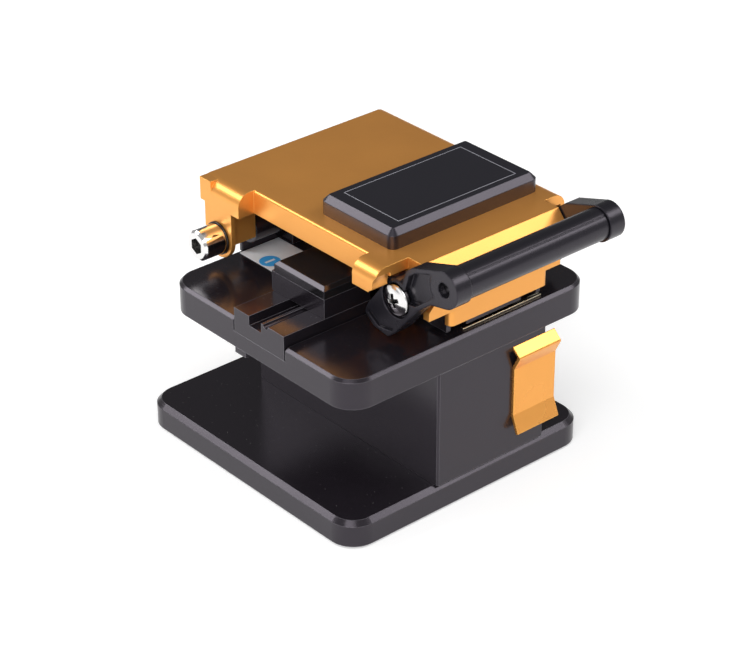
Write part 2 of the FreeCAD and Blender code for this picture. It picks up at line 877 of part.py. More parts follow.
def arm_notches(body):
    """Clears the handle arms, their hubs and screw heads at both front corners."""
    gap = S.notch_gap
    pivot_low = PIVOT_Z - LID_TOP
    outer_left = -S.arm_inner_left - S.arm_thick
    outer_right = S.arm_inner_right + S.arm_thick
    inner_left = -S.arm_inner_left + S.pivot_boss_gap
    inner_right = S.arm_inner_right - S.pivot_boss_gap
    spans = (
        ("left", -S.lid_left - 1, inner_left, outer_left - gap, inner_left),
        ("right", inner_right, S.lid_right + 1, inner_right, outer_right + gap),
    )
    for name, box_start, box_stop, ring_start, ring_stop in spans:
        box = new_sketch(body, "XY_Plane", f"arm_notch_{name}", 1)
        rectangle(box, box_start, box_stop, -S.lid_front - 1, PIVOT_Y + S.notch_back)
        pocket(body, box, S.lid_thick + 2)
        ring = new_sketch(body, "YZ_Plane", f"arm_arc_{name}", ring_start)
        circle(ring, PIVOT_Y, pivot_low, S.hub_round + gap)
        pocket(body, ring, ring_stop - ring_start, reverse=True)
    ear = new_sketch(body, "YZ_Plane", "ear_arc", -S.lid_left - 1)
    circle(ear, PIVOT_Y - S.ear_arc_ahead, pivot_low + S.ear_arc_rise, S.ear_arc_radius)
    pocket(body, ear, outer_left - gap + S.lid_left + 1, reverse=True)
    for name, start, stop in (
        ("left", -S.lid_left - 1, outer_left - gap),
        ("right", outer_right + gap, S.lid_right + 1),
    ):
        head = new_sketch(body, "YZ_Plane", f"head_arc_{name}", start)
        circle(head, PIVOT_Y, pivot_low, S.pivot_screw_head + S.head_play)
        pocket(body, head, stop - start, reverse=True)


def lid_cover():
    """The milled lid: rolled sides, recessed left flank, bevelled front and hinge lugs."""
    body = new_body("lid_cover")
    lid_slab(body)
    lid_edges(body)
    lid_underside(body)
    hinge_lugs(body)
    arm_notches(body)
    bore = new_sketch(body, "YZ_Plane", "lid_pin_bore", -S.lid_left - 1)
    circle(bore, HINGE_Y, HINGE_Z - LID_TOP, S.pin_radius)
    pocket(body, bore, S.lid_left + S.lid_right + 2, reverse=True)
    screws = new_sketch(body, "YZ_Plane", "lid_pivot_bore", -S.lid_left - 1)
    circle(screws, PIVOT_Y, PIVOT_Z - LID_TOP, S.pivot_shank)
    pocket(body, screws, S.lid_left + S.lid_right + 2, reverse=True)
    place(body, 0, 0, LID_TOP)
    return keep(body)


def badge_plate():
    body = new_body("badge_plate")
    sketch = new_sketch(body, "XY_Plane", "badge_outline")
    x0, x1 = -S.badge_left, S.badge_right
    y0, y1 = -S.badge_front, S.badge_back
    rectangle(sketch, x0, x1, y0, y1)
    slab = pad(body, sketch, S.badge_high)
    corners = [(x, y, None) for x in (x0, x1) for y in (y0, y1)]
    rounded = fillet(body, slab, edges_at(slab, "Z", corners), S.badge_round)
    chamfer(body, rounded, top_rim(rounded, S.badge_high), S.badge_bevel)
    place(body, 0, 0, LID_TOP)
    return keep(body)


def hinge_pin():
    """The hinge pin with its large socket head outside the left lug."""
    left = -S.lid_left - S.collar_thick
    tip = left - S.pin_head_long
    rod = cylinder("pin_rod", S.pin_radius - S.press_play, S.lid_right - left, left,
                   HINGE_Y, HINGE_Z, "X")
    head = cylinder("pin_head", S.pin_head_radius, S.pin_head_long - S.pin_head_bevel,
                    tip + S.pin_head_bevel, HINGE_Y, HINGE_Z, "X")
    bevel = DOC.addObject("Part::Cone", "pin_head_end")
    bind(bevel, "Radius1", S.pin_head_radius - S.pin_head_bevel)
    bind(bevel, "Radius2", S.pin_head_radius)
    bind(bevel, "Height", S.pin_head_bevel)
    bevel.Placement.Rotation = FreeCAD.Rotation(FreeCAD.Vector(0, 1, 0), 90)
    place(bevel, tip, HINGE_Y, HINGE_Z)
    shank = union("pin_blank", [rod, head, bevel])
    socket = DOC.addObject("Part::Prism", "pin_socket")
    socket.Polygon = 6
    bind(socket, "Circumradius", S.pin_socket_radius)
    bind(socket, "Height", S.pin_socket_deep)
    socket.Placement.Rotation = FreeCAD.Rotation(FreeCAD.Vector(0, 1, 0), 90)
    place(socket, tip, HINGE_Y, HINGE_Z)
    return keep(cut("hinge_pin", shank, socket))


def pin_collar():
    """The thin washer between the pin head and the left lug."""
    start = -S.lid_left - S.collar_thick
    ring = cylinder("collar_blank", S.collar_radius, S.collar_thick, start, HINGE_Y, HINGE_Z, "X")
    hole = cylinder("collar_hole", S.pin_radius, S.collar_thick, start, HINGE_Y, HINGE_Z, "X")
    return keep(cut("pin_collar", ring, hole))


def upper_clamps():
    low = FIBRE_Z + S.upper_pad_gap
    for side, (x0, x1) in clamp_sides().items():
        body = new_body(f"upper_clamp_{side}")
        sketch = new_sketch(body, "XY_Plane", f"upper_clamp_{side}_outline")
        rectangle(sketch, x0, x1, -S.clamp_half_deep, S.clamp_half_deep)
        tall = LID_TOP - S.lid_top_thick - low - S.pad_thick
        stem = pad(body, sketch, tall)
        half = S.clamp_half_deep
        upright = [(x, y, None) for x in (x0, x1) for y in (-half, half)]
        fillet(body, stem, edges_at(stem, "Z", upright), S.clamp_round)
        place(body, 0, 0, low + S.pad_thick)
        keep(body)


def upper_clamp_pads():
    pads = []
    low = FIBRE_Z + S.upper_pad_gap
    half = S.clamp_half_deep - S.pad_edge
    for side, (x0, x1) in clamp_sides().items():
        pads.append(block(f"upper_pad_{side}", x0 + S.pad_edge, x1 - S.pad_edge, -half, half,
                          low, low + S.pad_thick))
    return keep(group("upper_clamp_pads", pads))


def lid_magnet():
    z = LID_TOP - S.lid_top_thick - S.magnet_high
    return keep(cylinder("lid_magnet", S.magnet_radius, S.magnet_high,
                         S.blade_x + S.magnet_right, S.magnet_back, z))


def anvil_guide():
    """The sleeve in the lid that holds the breaking anvil."""
    body = new_body("anvil_guide")
    low = FIBRE_Z + S.anvil_lift + S.sleeve_lift
    tall = LID_TOP - S.lid_top_thick - low
    half, deep = S.anvil_wide / 2 + S.sleeve_wall, S.anvil_half_deep + S.sleeve_wall
    sketch = new_sketch(body, "XY_Plane", "anvil_guide_outline")
    rectangle(sketch, S.blade_x - half, S.blade_x + half, -deep, deep)
    pad(body, sketch, tall)
    half, deep = S.anvil_wide / 2 + S.anvil_gap, S.anvil_half_deep + S.anvil_gap
    hole = new_sketch(body, "XY_Plane", "anvil_guide_hole")
    rectangle(hole, S.blade_x - half, S.blade_x + half, -deep, deep)
    pocket(body, hole, tall, reverse=True)
    place(body, 0, 0, low)
    return keep(body)


def anvil():
    """The rubber-tipped bar that presses the scored fibre down until it breaks."""
    body = new_body("anvil")
    half = S.anvil_wide / 2
    deep = S.anvil_half_deep
    sketch = new_sketch(body, "XY_Plane", "anvil_outline")
    rectangle(sketch, S.blade_x - half, S.blade_x + half, -deep, deep)
    tall = LID_TOP - S.lid_top_thick - FIBRE_Z - S.anvil_lift - S.anvil_top_gap
    stem = pad(body, sketch, tall)
    tip = edges_at(stem, "X", [(None, -deep, 0), (None, deep, 0)])
    fillet(body, stem, tip, S.anvil_tip_round)
    place(body, 0, 0, FIBRE_Z + S.anvil_lift)
    return keep(body)


# ---------------------------------------------------------------- handle


def lobe_outline():
    """The low corners of the cam lobe, as shares of its reach from the pivot."""
    reach = S.lobe_reach
    return [
        (-reach * 0.02, -reach * 0.68),
        (reach * 0.2, -reach * 0.87),
        (reach * 0.61, -reach * 0.81),
        (reach * 0.88, -reach * 0.6),
        (reach * 0.77, -reach * 0.38),
    ]


def arm_web():
    """The web of a handle arm seen from the side, about its pivot: valley, bar end and cam lobe."""
    hub, boss = S.hub_round, S.boss_radius
    bar_y, bar_z = -S.bar_forward, S.bar_rise
    return [
        (0, 0),
        (-hub * 0.38, hub * 0.87),
        (-hub * 0.62, hub * 1.6),
        (-hub, hub * 1.91),
        (bar_y + boss * 0.36, bar_z + boss * 0.93),
        (bar_y, bar_z),
        (bar_y - boss * 0.1, bar_z - boss),
        (bar_y + boss * 0.9, bar_z - boss * 1.2),
        (-hub * 1.3, 0),
        *lobe_outline(),
        (hub, hub * 0.1),
    ]


def arm_panel():
    """The sunk panel of a handle arm: the web drawn in by the width of its rim."""
    hub, boss, rim = S.hub_round, S.boss_radius, S.arm_rim
    bar_y, bar_z = -S.bar_forward, S.bar_rise
    return [
        (0, 0),
        (-hub * 0.38 - rim, hub * 0.87 - rim),
        (-hub * 0.62 - rim, hub * 1.6 - rim),
        (-hub - rim, hub * 1.91 - rim),
        (bar_y + boss, bar_z + boss * 0.69 - rim),
        (bar_y, bar_z),
        (bar_y + boss * 0.9 + rim * 0.5, bar_z - boss * 1.2 + rim),
        (-hub * 1.3 + rim * 0.5, rim),
    ]


def lobe_slot():
    """The curved groove that follows the low edge of the lobe, one rim width inside it."""
    reach, rim = S.lobe_reach, S.arm_rim
    outer = [(reach * 0.11, -reach * 0.72), (reach * 0.48, -reach * 0.77), (reach * 0.78, -reach * 0.59)]
    inner = [(y - rim * 0.5, z + rim) for y, z in reversed(outer)]
    return outer + inner


def handle_arm(side, inner, direction):
    """One side arm of the press bar: web, hub, lobe and rod boss, with a sunk outer face."""
    body = new_body(f"handle_arm_{side}")
    thick = S.arm_thick
    x0 = inner if direction > 0 else inner - thick
    web = new_sketch(body, "YZ_Plane", f"arm_{side}_web")
    outline(web, arm_web())
    plate = pad(body, web, thick)
    corners = [(None, y, z) for y, z in lobe_outline()]
    fillet(body, plate, edges_at(plate, "X", corners), S.lobe_round)
    hub = new_sketch(body, "YZ_Plane", f"arm_{side}_hub")
    circle(hub, 0, 0, S.hub_round)
    pad(body, hub, thick)
    for name, points, deep in (
        ("panel", arm_panel(), S.arm_panel_deep),
        ("lobe_slot", lobe_slot(), S.arm_slot_deep),
    ):
        floor = thick - deep if direction > 0 else size(0)
        sunk = new_sketch(body, "YZ_Plane", f"arm_{side}_{name}", floor)
        outline(sunk, points)
        pocket(body, sunk, deep, reverse=True)
    floor = thick - S.arm_seat_deep if direction > 0 else size(0)
    seat = new_sketch(body, "YZ_Plane", f"arm_{side}_screw_seat", floor)
    circle(seat, 0, 0, S.hub_round - S.arm_rim)
    pocket(body, seat, S.arm_seat_deep, reverse=True)
    boss = new_sketch(body, "YZ_Plane", f"arm_{side}_boss")
    circle(boss, -S.bar_forward, S.bar_rise, S.boss_radius)
    pad(body, boss, thick)
    hole = new_sketch(body, "YZ_Plane", f"arm_{side}_rod_hole")
    circle(hole, -S.bar_forward, S.bar_rise, S.boss_hole)
    pocket(body, hole, thick, reverse=True)
    pivot = new_sketch(body, "YZ_Plane", f"arm_{side}_pivot_hole")
    circle(pivot, 0, 0, S.pivot_shank + S.pivot_gap)
    pocket(body, pivot, thick, reverse=True)
    place(body, x0, PIVOT_Y, PIVOT_Z)
    return keep(body)


def handle_rod():
    """The rod through both arm bosses; its ends stay below the outer faces."""
    sunk = S.arm_thick - S.rod_sunk
    left = -S.arm_inner_left - sunk
    rod = cylinder("handle_rod", S.boss_hole - S.press_play, S.arm_inner_right + sunk - left,
                   left, BAR_Y, BAR_Z, "X")
    return keep(rod)


def handle_grip():
    """The tube grip on the rod, between the two arms."""
    left = -S.arm_inner_left
    wide = S.arm_inner_right - left
    tube = cylinder("grip_tube", S.grip_radius, wide, left, BAR_Y, BAR_Z, "X")
    hole = cylinder("grip_hole", S.boss_hole, wide, left, BAR_Y, BAR_Z, "X")
    return keep(cut("handle_grip", tube, hole))


def pivot_screws():
    """Pan-head screws that hold the handle arms to the lid."""
    screws = []
    head, high = S.pivot_screw_head, S.pivot_screw_high
    reach = S.arm_thick + S.pivot_bite
    seat = S.arm_thick - S.arm_seat_deep + S.arm_float
    outer_left = -S.arm_inner_left - seat
    outer_right = S.arm_inner_right + seat
    for side, head_x, shank_x in (
        ("left", outer_left - high, outer_left),
        ("right", outer_right, outer_right - reach),
    ):
        cap = cylinder(f"pivot_head_{side}", head, high, head_x, PIVOT_Y, PIVOT_Z, "X")
        shank = cylinder(f"pivot_shank_{side}", S.pivot_shank - S.press_play, reach, shank_x,
                         PIVOT_Y, PIVOT_Z, "X")
        screws.append(union(f"pivot_screw_{side}", [cap, shank]))
    return keep(group("pivot_screws", screws))


# ---------------------------------------------------------------- slider


def slider_plate():
    """The gold push plate: a wide upper flange over a narrower lower block."""
    body = new_body("slider_plate")
    sketch = new_sketch(body, "XZ_Plane", "slider_face", -S.plate_front)
    low, mid = S.plate_low, S.flange_low
    top = mid + S.flange_high
    cut_corner = S.flange_chamfer
    outline(sketch, [
        (-S.slider_left, low),
        (S.slider_right, low),
        (S.slider_right, mid),
        (S.flange_right, mid),
        (S.flange_right, top),
        (-S.flange_left + cut_corner, top),
        (-S.flange_left, top - cut_corner),
        (-S.flange_left, mid),
        (-S.slider_left, mid),
    ])
    plate = body.newObject("PartDesign::Pad", "slider_face_pad")
    plate.Profile = sketch
    plate.Reversed = True
    bind(plate, "Length", S.plate_thick)
    DOC.recompute()
    upright = [(x, -S.plate_front, None) for x in (-S.slider_left, S.slider_right)]
    names = edges_at(plate, "Z", upright)
    fillet(body, plate, names, S.plate_round)
    place(body, 0, 0, DECK_TOP)
    return keep(body)


def slider_carriage():
    """The block behind the push plate, riding on both guides, with the blade fork below."""
    body = new_body("slider_carriage")
    front = -S.plate_front + S.plate_thick
    back = front + S.carriage_deep
    low, high = S.carriage_low, S.carriage_high
    sketch = new_sketch(body, "XY_Plane", "carriage_outline", low)
    inset = S.carriage_inset
    rectangle(sketch, -S.slider_left + inset, S.slider_right - inset, front, back)
    pad(body, sketch, high - low)
    for side, x in guide_sides().items():
        channel = new_sketch(body, "XY_Plane", f"carriage_channel_{side}", low)
        gap = S.guide_gap
        rectangle(channel, x - gap, x + S.guide_wide + gap, front - 1, back + 1)
        pocket(body, channel, S.guide_high + gap - low, reverse=True)
    cheek, gap = S.fork_cheek, S.fork_gap
    half = S.blade_gap - gap
    neck = new_sketch(body, "XY_Plane", "fork_neck", low + 1)
    rectangle(neck, S.blade_x - half, S.blade_x + half, -S.slot_front + gap, back)
    down = body.newObject("PartDesign::Pad", "fork_neck_pad")
    down.Profile = neck
    down.Reversed = True
    bind(down, "Length", low + 1 + S.fork_drop)
    DOC.recompute()
    for side, x0 in (("left", S.blade_x - half), ("right", S.blade_x + half - cheek)):
        arm = new_sketch(body, "YZ_Plane", f"fork_{side}", x0)
        rectangle(arm, back - cheek, WHEEL_Y + S.fork_beyond, -S.fork_drop,
                  -S.fork_drop + S.fork_high)
        pad(body, arm, cheek)
    axle = new_sketch(body, "YZ_Plane", "fork_axle_hole", S.blade_x - half)
    circle(axle, WHEEL_Y, S.fibre_over_deck - S.wheel_radius, S.axle_radius)
    pocket(body, axle, half * 2, reverse=True)
    place(body, 0, 0, DECK_TOP)
    return keep(body)


def blade_axle():
    """The fixed axle across the fork."""
    half = S.blade_gap - S.fork_gap
    return keep(cylinder("blade_axle", S.axle_radius - S.press_play, half * 2, S.blade_x - half,
                         WHEEL_Y, WHEEL_Z, "X"))


def blade_wheel():
    """The hard metal cutting wheel, bevelled to its edge."""
    body = new_body("blade_wheel")
    sketch = new_sketch(body, "YZ_Plane", "wheel_disc")
    circle(sketch, 0, 0, S.wheel_radius)
    circle(sketch, 0, 0, S.hub_radius + S.thread_play)
    disc = pad(body, sketch, S.wheel_thick)
    rims = []
    for number, edge in enumerate(disc.Shape.Edges, start=1):
        round_edge = edge.Curve.TypeId == "Part::GeomCircle"
        if round_edge and abs(edge.Curve.Radius - S.wheel_radius.value) < 1e-6:
            rims.append(f"Edge{number}")
    chamfer(body, disc, rims, S.wheel_bevel)
    place(body, S.blade_x - S.wheel_thick / 2, WHEEL_Y, WHEEL_Z)
    return keep(body)


def blade_hub():
    """The hub that carries the wheel and turns on the axle."""
    half = S.hub_wide / 2
    hub = cylinder("hub_blank", S.hub_radius, S.hub_wide, S.blade_x - half, WHEEL_Y, WHEEL_Z, "X")
    bore = cylinder("hub_bore", S.axle_radius + S.axle_gap, S.hub_wide, S.blade_x - half, WHEEL_Y,
                    WHEEL_Z, "X")
    return keep(cut("blade_hub", hub, bore))


BUILDERS = (
    base_plate, foot_pad, column, base_screws, deck_plate, deck_screws, fibre_rail,
    holder_block, holder_cap, rail_key, caution_label, lower_clamps, lower_clamp_pads,
    slide_rails, stop_strip, hinge_bracket, scrap_clip, lid_cover, badge_plate, hinge_pin,
    pin_collar, upper_clamps, upper_clamp_pads, lid_magnet, anvil_guide, anvil, handle_rod,
    handle_grip, pivot_screws, slider_plate, slider_carriage, blade_axle, blade_wheel, blade_hub,
)


def check(thing):
    """Stops the build on a broken object."""
    if "Invalid" in thing.State or "Error" in thing.State:
        raise RuntimeError(f"{thing.Label} is in state {thing.State}")


def main():
    for builder in BUILDERS:
        builder()
    handle_arm("left", -S.arm_inner_left, -1)
    handle_arm("right", S.arm_inner_right, 1)
    DOC.recompute()
    for thing in DOC.Objects:
        check(thing)
    os.makedirs("parts", exist_ok=True)
    for thing in PARTS:
        shape = thing.Shape
        if shape.isNull() or not shape.isValid():
            raise RuntimeError(f"{thing.Label} has no valid shape")
        shape.exportStep(f"parts/{thing.Label}.step")


main()
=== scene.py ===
"""Dresses the packed fibre cleaver.

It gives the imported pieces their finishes, models the screws, the grip, the badge, the label's mark,
the bright strip and the low wall under the hinge, and sets out the floor, the light and the camera.
"""

import json
import math

import bmesh
import bpy
from bpy.props import FloatProperty, FloatVectorProperty, PointerProperty
from mathutils import Matrix, Vector


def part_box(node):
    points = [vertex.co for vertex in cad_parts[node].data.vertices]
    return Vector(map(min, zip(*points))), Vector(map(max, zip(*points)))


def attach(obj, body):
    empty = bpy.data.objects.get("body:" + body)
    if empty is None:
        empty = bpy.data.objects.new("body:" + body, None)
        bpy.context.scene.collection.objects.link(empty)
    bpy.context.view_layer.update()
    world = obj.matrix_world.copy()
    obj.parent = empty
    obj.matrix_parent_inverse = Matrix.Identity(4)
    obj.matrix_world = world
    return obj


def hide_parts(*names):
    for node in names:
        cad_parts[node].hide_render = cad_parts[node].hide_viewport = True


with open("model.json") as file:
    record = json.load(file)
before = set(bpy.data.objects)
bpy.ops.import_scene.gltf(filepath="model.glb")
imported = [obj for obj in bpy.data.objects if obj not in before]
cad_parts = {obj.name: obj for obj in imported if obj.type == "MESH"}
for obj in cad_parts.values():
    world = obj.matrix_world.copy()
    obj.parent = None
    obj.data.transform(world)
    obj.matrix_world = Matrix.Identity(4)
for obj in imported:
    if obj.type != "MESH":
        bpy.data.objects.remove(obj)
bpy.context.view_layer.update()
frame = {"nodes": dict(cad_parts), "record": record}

bl_info = {
    "name": "Fibre Cleaver Dressing",
    "version": (1, 0, 0),
    "blender": (4, 5, 0),
    "location": "View3D > Sidebar > Cleaver",
    "description": "Finishes and detail pieces for a bench fibre cleaver",
    "category": "Object",
}

MM = 0.001
MERGE_DISTANCE = 1e-8

# A cross recess narrows towards its floor to these shares of its length and width.
SLOT_FLOOR_LONG = 0.45
SLOT_FLOOR_WIDE = 0.7

# The small strip screw, as shares of its head's radius or height.
STOP_DOME = 0.4
STOP_RIM = 0.4
STOP_SHANK = 0.5
STOP_SLOT_WIDE = 0.25
STOP_SLOT_LONG = 1.1
STOP_SLOT_DEEP = 0.7

# A Mix node set to colours has its colour sockets after those for numbers and vectors.
MIX_FIRST, MIX_SECOND, MIX_RESULT = 6, 7, 2

# Every finish: share by which the colour drifts, share of it left in a deep recess as painted shade,
# height of the grain in metres, and rays for the rounded edges and the recesses.
COLOUR_DRIFT = 0.1
RECESS_PAINTED_SHADE = 0.06
GRAIN_HEIGHT = 0.00002
SHADING_SAMPLES = 6

SENSOR_WIDTH = 36.0


# ---------------------------------------------------------------- properties


def length(name, description, default):
    """A length property in metres, given here in millimetres."""
    return FloatProperty(name=name, description=description, default=default * MM, min=0.0,
                         unit="LENGTH", precision=5)


def amount(name, description, default):
    """A plain number that isn't negative."""
    return FloatProperty(name=name, description=description, default=default, min=0.0)


def angle(name, description, degrees):
    """An angle property, given here in degrees."""
    return FloatProperty(name=name, description=description, default=math.radians(degrees),
                         subtype="ANGLE")


def colour(name, description, default):
    """A colour property with its alpha."""
    return FloatVectorProperty(name=name, description=description, default=default, size=4,
                               min=0.0, max=1.0, subtype="COLOR")


def direction(name, description, default):
    """A direction from the tool, of any length."""
    return FloatVectorProperty(name=name, description=description, default=default, size=3,
                               subtype="XYZ")


class CleaverSizes(bpy.types.PropertyGroup):
    """Sizes of the detail pieces."""

    pan_dome: length("Pan head dome", "Height of the dome on a pan head over its rim", 0.62)
    pan_rim: length("Pan head rim", "Radius that rounds the outer edge of a pan head", 0.35)
    cross_wide: length("Cross slot width", "Width of each arm of the cross recess", 0.95)
    cross_long: length("Cross slot length", "Length across the cross recess", 4.1)
    cross_deep: length("Cross slot depth", "Depth of the cross recess", 1.15)
    socket_reach: length("Socket size", "Radius of the hex socket in the cap screws", 1.44)
    socket_deep: length("Socket depth", "Depth of the hex socket in the cap screws", 1.0)
    cap_edge: length("Cap screw edge", "Bevel round the top of a cap screw", 0.25)
    seam_wide: length("Grip seam width", "Width of the moulding seam along the grip", 0.24)
    seam_deep: length("Grip seam depth", "Depth of the moulding seam along the grip", 0.12)
    line_wide: length("Badge line width", "Width of the line inlaid in the badge", 0.16)
    line_deep: length("Badge line depth", "Depth of the groove that holds the badge line", 0.08)
    line_inset_x: length("Badge line side inset", "From the badge's ends to the line", 3.8)
    line_inset_y: length("Badge line front inset", "From the badge's long edges to the line", 2.6)
    disc_radius: length("Label mark radius", "Radius of the round mark on the label", 2.2)
    disc_side: length("Label mark side", "From the label's left edge to the mark's centre", 2.32)
    disc_front: length("Label mark front", "From the label's front edge to the mark's centre", 3.5)
    bar_long: length("Label bar length", "Length of the pale bar in the round mark", 2.4)
    bar_wide: length("Label bar width", "Width of the pale bar in the round mark", 0.6)
    ink_thick: length("Print thickness", "Thickness of a printed mark", 0.02)
    stop_radius: length("Stop screw radius", "Radius of the small screw by the strip", 1.0)
    stop_high: length("Stop screw height", "Height of the small screw's head", 0.55)
    stop_side: length("Stop screw side", "From the strip's left end to the small screw", 10.4)
    stop_back: length("Stop screw back", "From the strip's back edge to the small screw", 0.9)
    strip_edge: length("Strip edge", "Bevel round the bright strip", 0.08)
    wall_deep: length("Hinge wall depth", "Depth of the low wall under the hinge barrel", 1.0)
    wall_back: length("Hinge wall back", "From the deck's back edge to the low wall", 0.1)
    wall_high: length("Hinge wall height", "Height of the low wall over the deck", 4.2)
    soft_edge: length("Softened edge", "Radius of the broken edges on machined pieces", 0.18)
    moulded_edge: length("Moulded edge", "Radius of the rounded edges on moulded pieces", 0.42)


class CleaverColours(bpy.types.PropertyGroup):
    """Colours of the finishes."""

    gold: colour("Gold", "Anodised gold of the lid, push plate and clip", (0.95, 0.408, 0.092, 1.0))
    black: colour("Black", "Anodised black of the deck, base and column",
                  (0.0135, 0.0112, 0.0145, 1.0))
    # Lighter colour for the black's broken edges: partly wear, partly painted highlight.
    black_edge_wear_and_highlight: colour("Black edge", "Broken edges of the anodised black", (0.17, 0.163, 0.18, 1.0))
    gloss: colour("Gloss black", "Polished black of the fibre holder's cap",
                  (0.010, 0.0095, 0.0105, 1.0))
    # Lighter colour for the polished black's broken edges: partly wear, partly painted highlight.
    gloss_edge_wear_and_highlight: colour("Gloss edge", "Broken edges of the polished black", (0.05, 0.05, 0.06, 1.0))
    sheen: colour("Cool sheen", "Tint of the highlights on the black finishes",
                  (0.96, 0.87, 1.0, 1.0))
    plastic: colour("Plastic", "Moulded black of the press bar", (0.011, 0.0105, 0.014, 1.0))
    badge: colour("Badge", "Face of the badge", (0.010, 0.010, 0.0145, 1.0))
    line: colour("Badge line", "Line inlaid in the badge", (0.40, 0.40, 0.45, 1.0))
    rubber: colour("Rubber", "Rubber of the foot and clamp pads", (0.014, 0.014, 0.014, 1.0))
    steel: colour("Steel", "Plated steel of the screws and pins", (0.78, 0.77, 0.76, 1.0))
    oxide: colour("Black oxide", "Blackened steel of the rails and cap screws",
                  (0.06, 0.06, 0.065, 1.0))
    strip: colour("Strip", "Pale brass of the strip at the deck's front edge",
                  (1.0, 0.84, 0.62, 1.0))
    blade: colour("Blade", "Ground metal of the cutter wheel", (0.50, 0.51, 0.53, 1.0))
    film: colour("Label film", "Silver film of the label", (0.90, 0.93, 1.0, 1.0))
    disc: colour("Label mark", "Round mark on the label", (0.06, 0.43, 0.95, 1.0))
    dust: colour("Dust", "Dust that settles on the dark tops", (0.32, 0.31, 0.30, 1.0))
    floor: colour("Floor", "Plain pale floor", (0.90, 0.90, 0.90, 1.0))


class CleaverStage(bpy.types.PropertyGroup):
    """Camera, lights, room and floor."""

    azimuth: angle("Azimuth", "Camera turn round the object", -41.022)
    elevation: angle("Elevation", "Camera height angle", 29.961)
    roll: angle("Roll", "Camera roll", -0.082)
    place: FloatVectorProperty(name="Camera place", description="Where the camera stands",
                               default=(-0.27966, -0.31998, 0.27220), size=3,
                               subtype="TRANSLATION", unit="LENGTH")
    lens: FloatProperty(name="Lens", default=118.03, min=10.0,
                        description="Focal length on a 36 mm wide sensor, in millimetres")
    right_power: amount("Right softbox", "Power of the front right softbox, in watts", 1.9)
    right_side: direction("Right softbox side", "Where the front right softbox stands",
                          (0.57, -0.44, 0.66))
    left_power: amount("Left softbox", "Power of the rear left softbox, in watts", 2.4)
    left_side: direction("Left softbox side", "Where the rear left softbox stands",
                         (-0.44, 0.65, 0.60))
    fill_power: amount("Fill softbox", "Power of the softbox behind the camera, in watts", 3.8)
    fill_side: direction("Fill softbox side", "Where the softbox behind the camera stands",
                         (-0.65, -0.45, 0.60))
    lamp_size: length("Softbox size", "Side of the right and left softboxes", 360.0)
    fill_size: length("Fill softbox size", "Side of the softbox behind the camera", 550.0)
    lamp_distance: length("Softbox distance", "From the softboxes to what they face", 900.0)
    lamp_aim: length("Softbox aim", "Height of the point that the softboxes face", 30.0)
    room: amount("Room light", "Strength of the even light of the room", 0.46)
    corner: amount("Dark corner", "Strength of the room light in its dark corner", 0.14)
    corner_side: direction("Dark corner side", "Where the room's dark corner lies",
                           (0.57, 0.65, 0.50))
    corner_start: amount("Dark corner start", "Cosine at which the room starts to darken", 0.55)
    corner_full: amount("Dark corner full", "Cosine at which the room is darkest", 0.95)
    backdrop: amount("Backdrop", "Brightness of the room where the camera sees it", 0.95)
    floor_radius: length("Floor radius", "Radius of the round floor", 4000.0)
    floor_rough: amount("Floor roughness", "Roughness of the floor", 0.7)
    floor_sheen: amount("Floor sheen", "Strength of the floor's highlights", 0.2)
    floor_glow: amount("Floor glow", "White added to the floor as it is seen", 0.36)


# ---------------------------------------------------------------- node groups


def new_group(name, inputs, outputs):
    """A shader node group with its sockets, its group input and its group output."""
    group = bpy.data.node_groups.new(name, "ShaderNodeTree")
    for label, kind, default in inputs:
        socket = group.interface.new_socket(name=label, in_out="INPUT", socket_type=kind)
        socket.default_value = default
    for label, kind in outputs:
        group.interface.new_socket(name=label, in_out="OUTPUT", socket_type=kind)
    start = group.nodes.new("NodeGroupInput")
    end = group.nodes.new("NodeGroupOutput")
    return group, start, end


def add(tree, kind, **settings):
    """A node with its settings and socket defaults; sockets are given by their labels."""
    node = tree.nodes.new(kind)
    for key, value in settings.items():
        if key == "sockets":
            for label, default in value.items():
                node.inputs[label].default_value = default
        else:
            setattr(node, key, value)
    return node


def clamped_rest(tree, value, strength):
    """One less the value, times the strength, kept within 0 and 1."""
    less = add(tree, "ShaderNodeMath", operation="SUBTRACT", use_clamp=True)
    less.inputs[0].default_value = 1.0
    gain = add(tree, "ShaderNodeMath", operation="MULTIPLY", use_clamp=True)
    tree.links.new(value, less.inputs[1])
    tree.links.new(less.outputs[0], gain.inputs[0])
    tree.links.new(strength, gain.inputs[1])
    return gain.outputs[0]


def build_edge_group():
    """Softened edges: a rounded normal and a mask that is 1 along the broken edges."""
    group, start, end = new_group(
        "softened_edges",
        [("Radius", "NodeSocketFloat", 0.0002), ("Sharpness", "NodeSocketFloat", 10.0)],
        [("Normal", "NodeSocketVector"), ("Edge", "NodeSocketFloat")],
    )
    rounded = add(group, "ShaderNodeBevel", samples=SHADING_SAMPLES)
    plain = add(group, "ShaderNodeNewGeometry")
    dot = add(group, "ShaderNodeVectorMath", operation="DOT_PRODUCT")
    edge = clamped_rest(group, dot.outputs["Value"], start.outputs["Sharpness"])
    link = group.links.new
    link(start.outputs["Radius"], rounded.inputs["Radius"])
    link(rounded.outputs["Normal"], dot.inputs[0])
    link(plain.outputs["Normal"], dot.inputs[1])
    link(rounded.outputs["Normal"], end.inputs["Normal"])
    link(edge, end.inputs["Edge"])
    return group


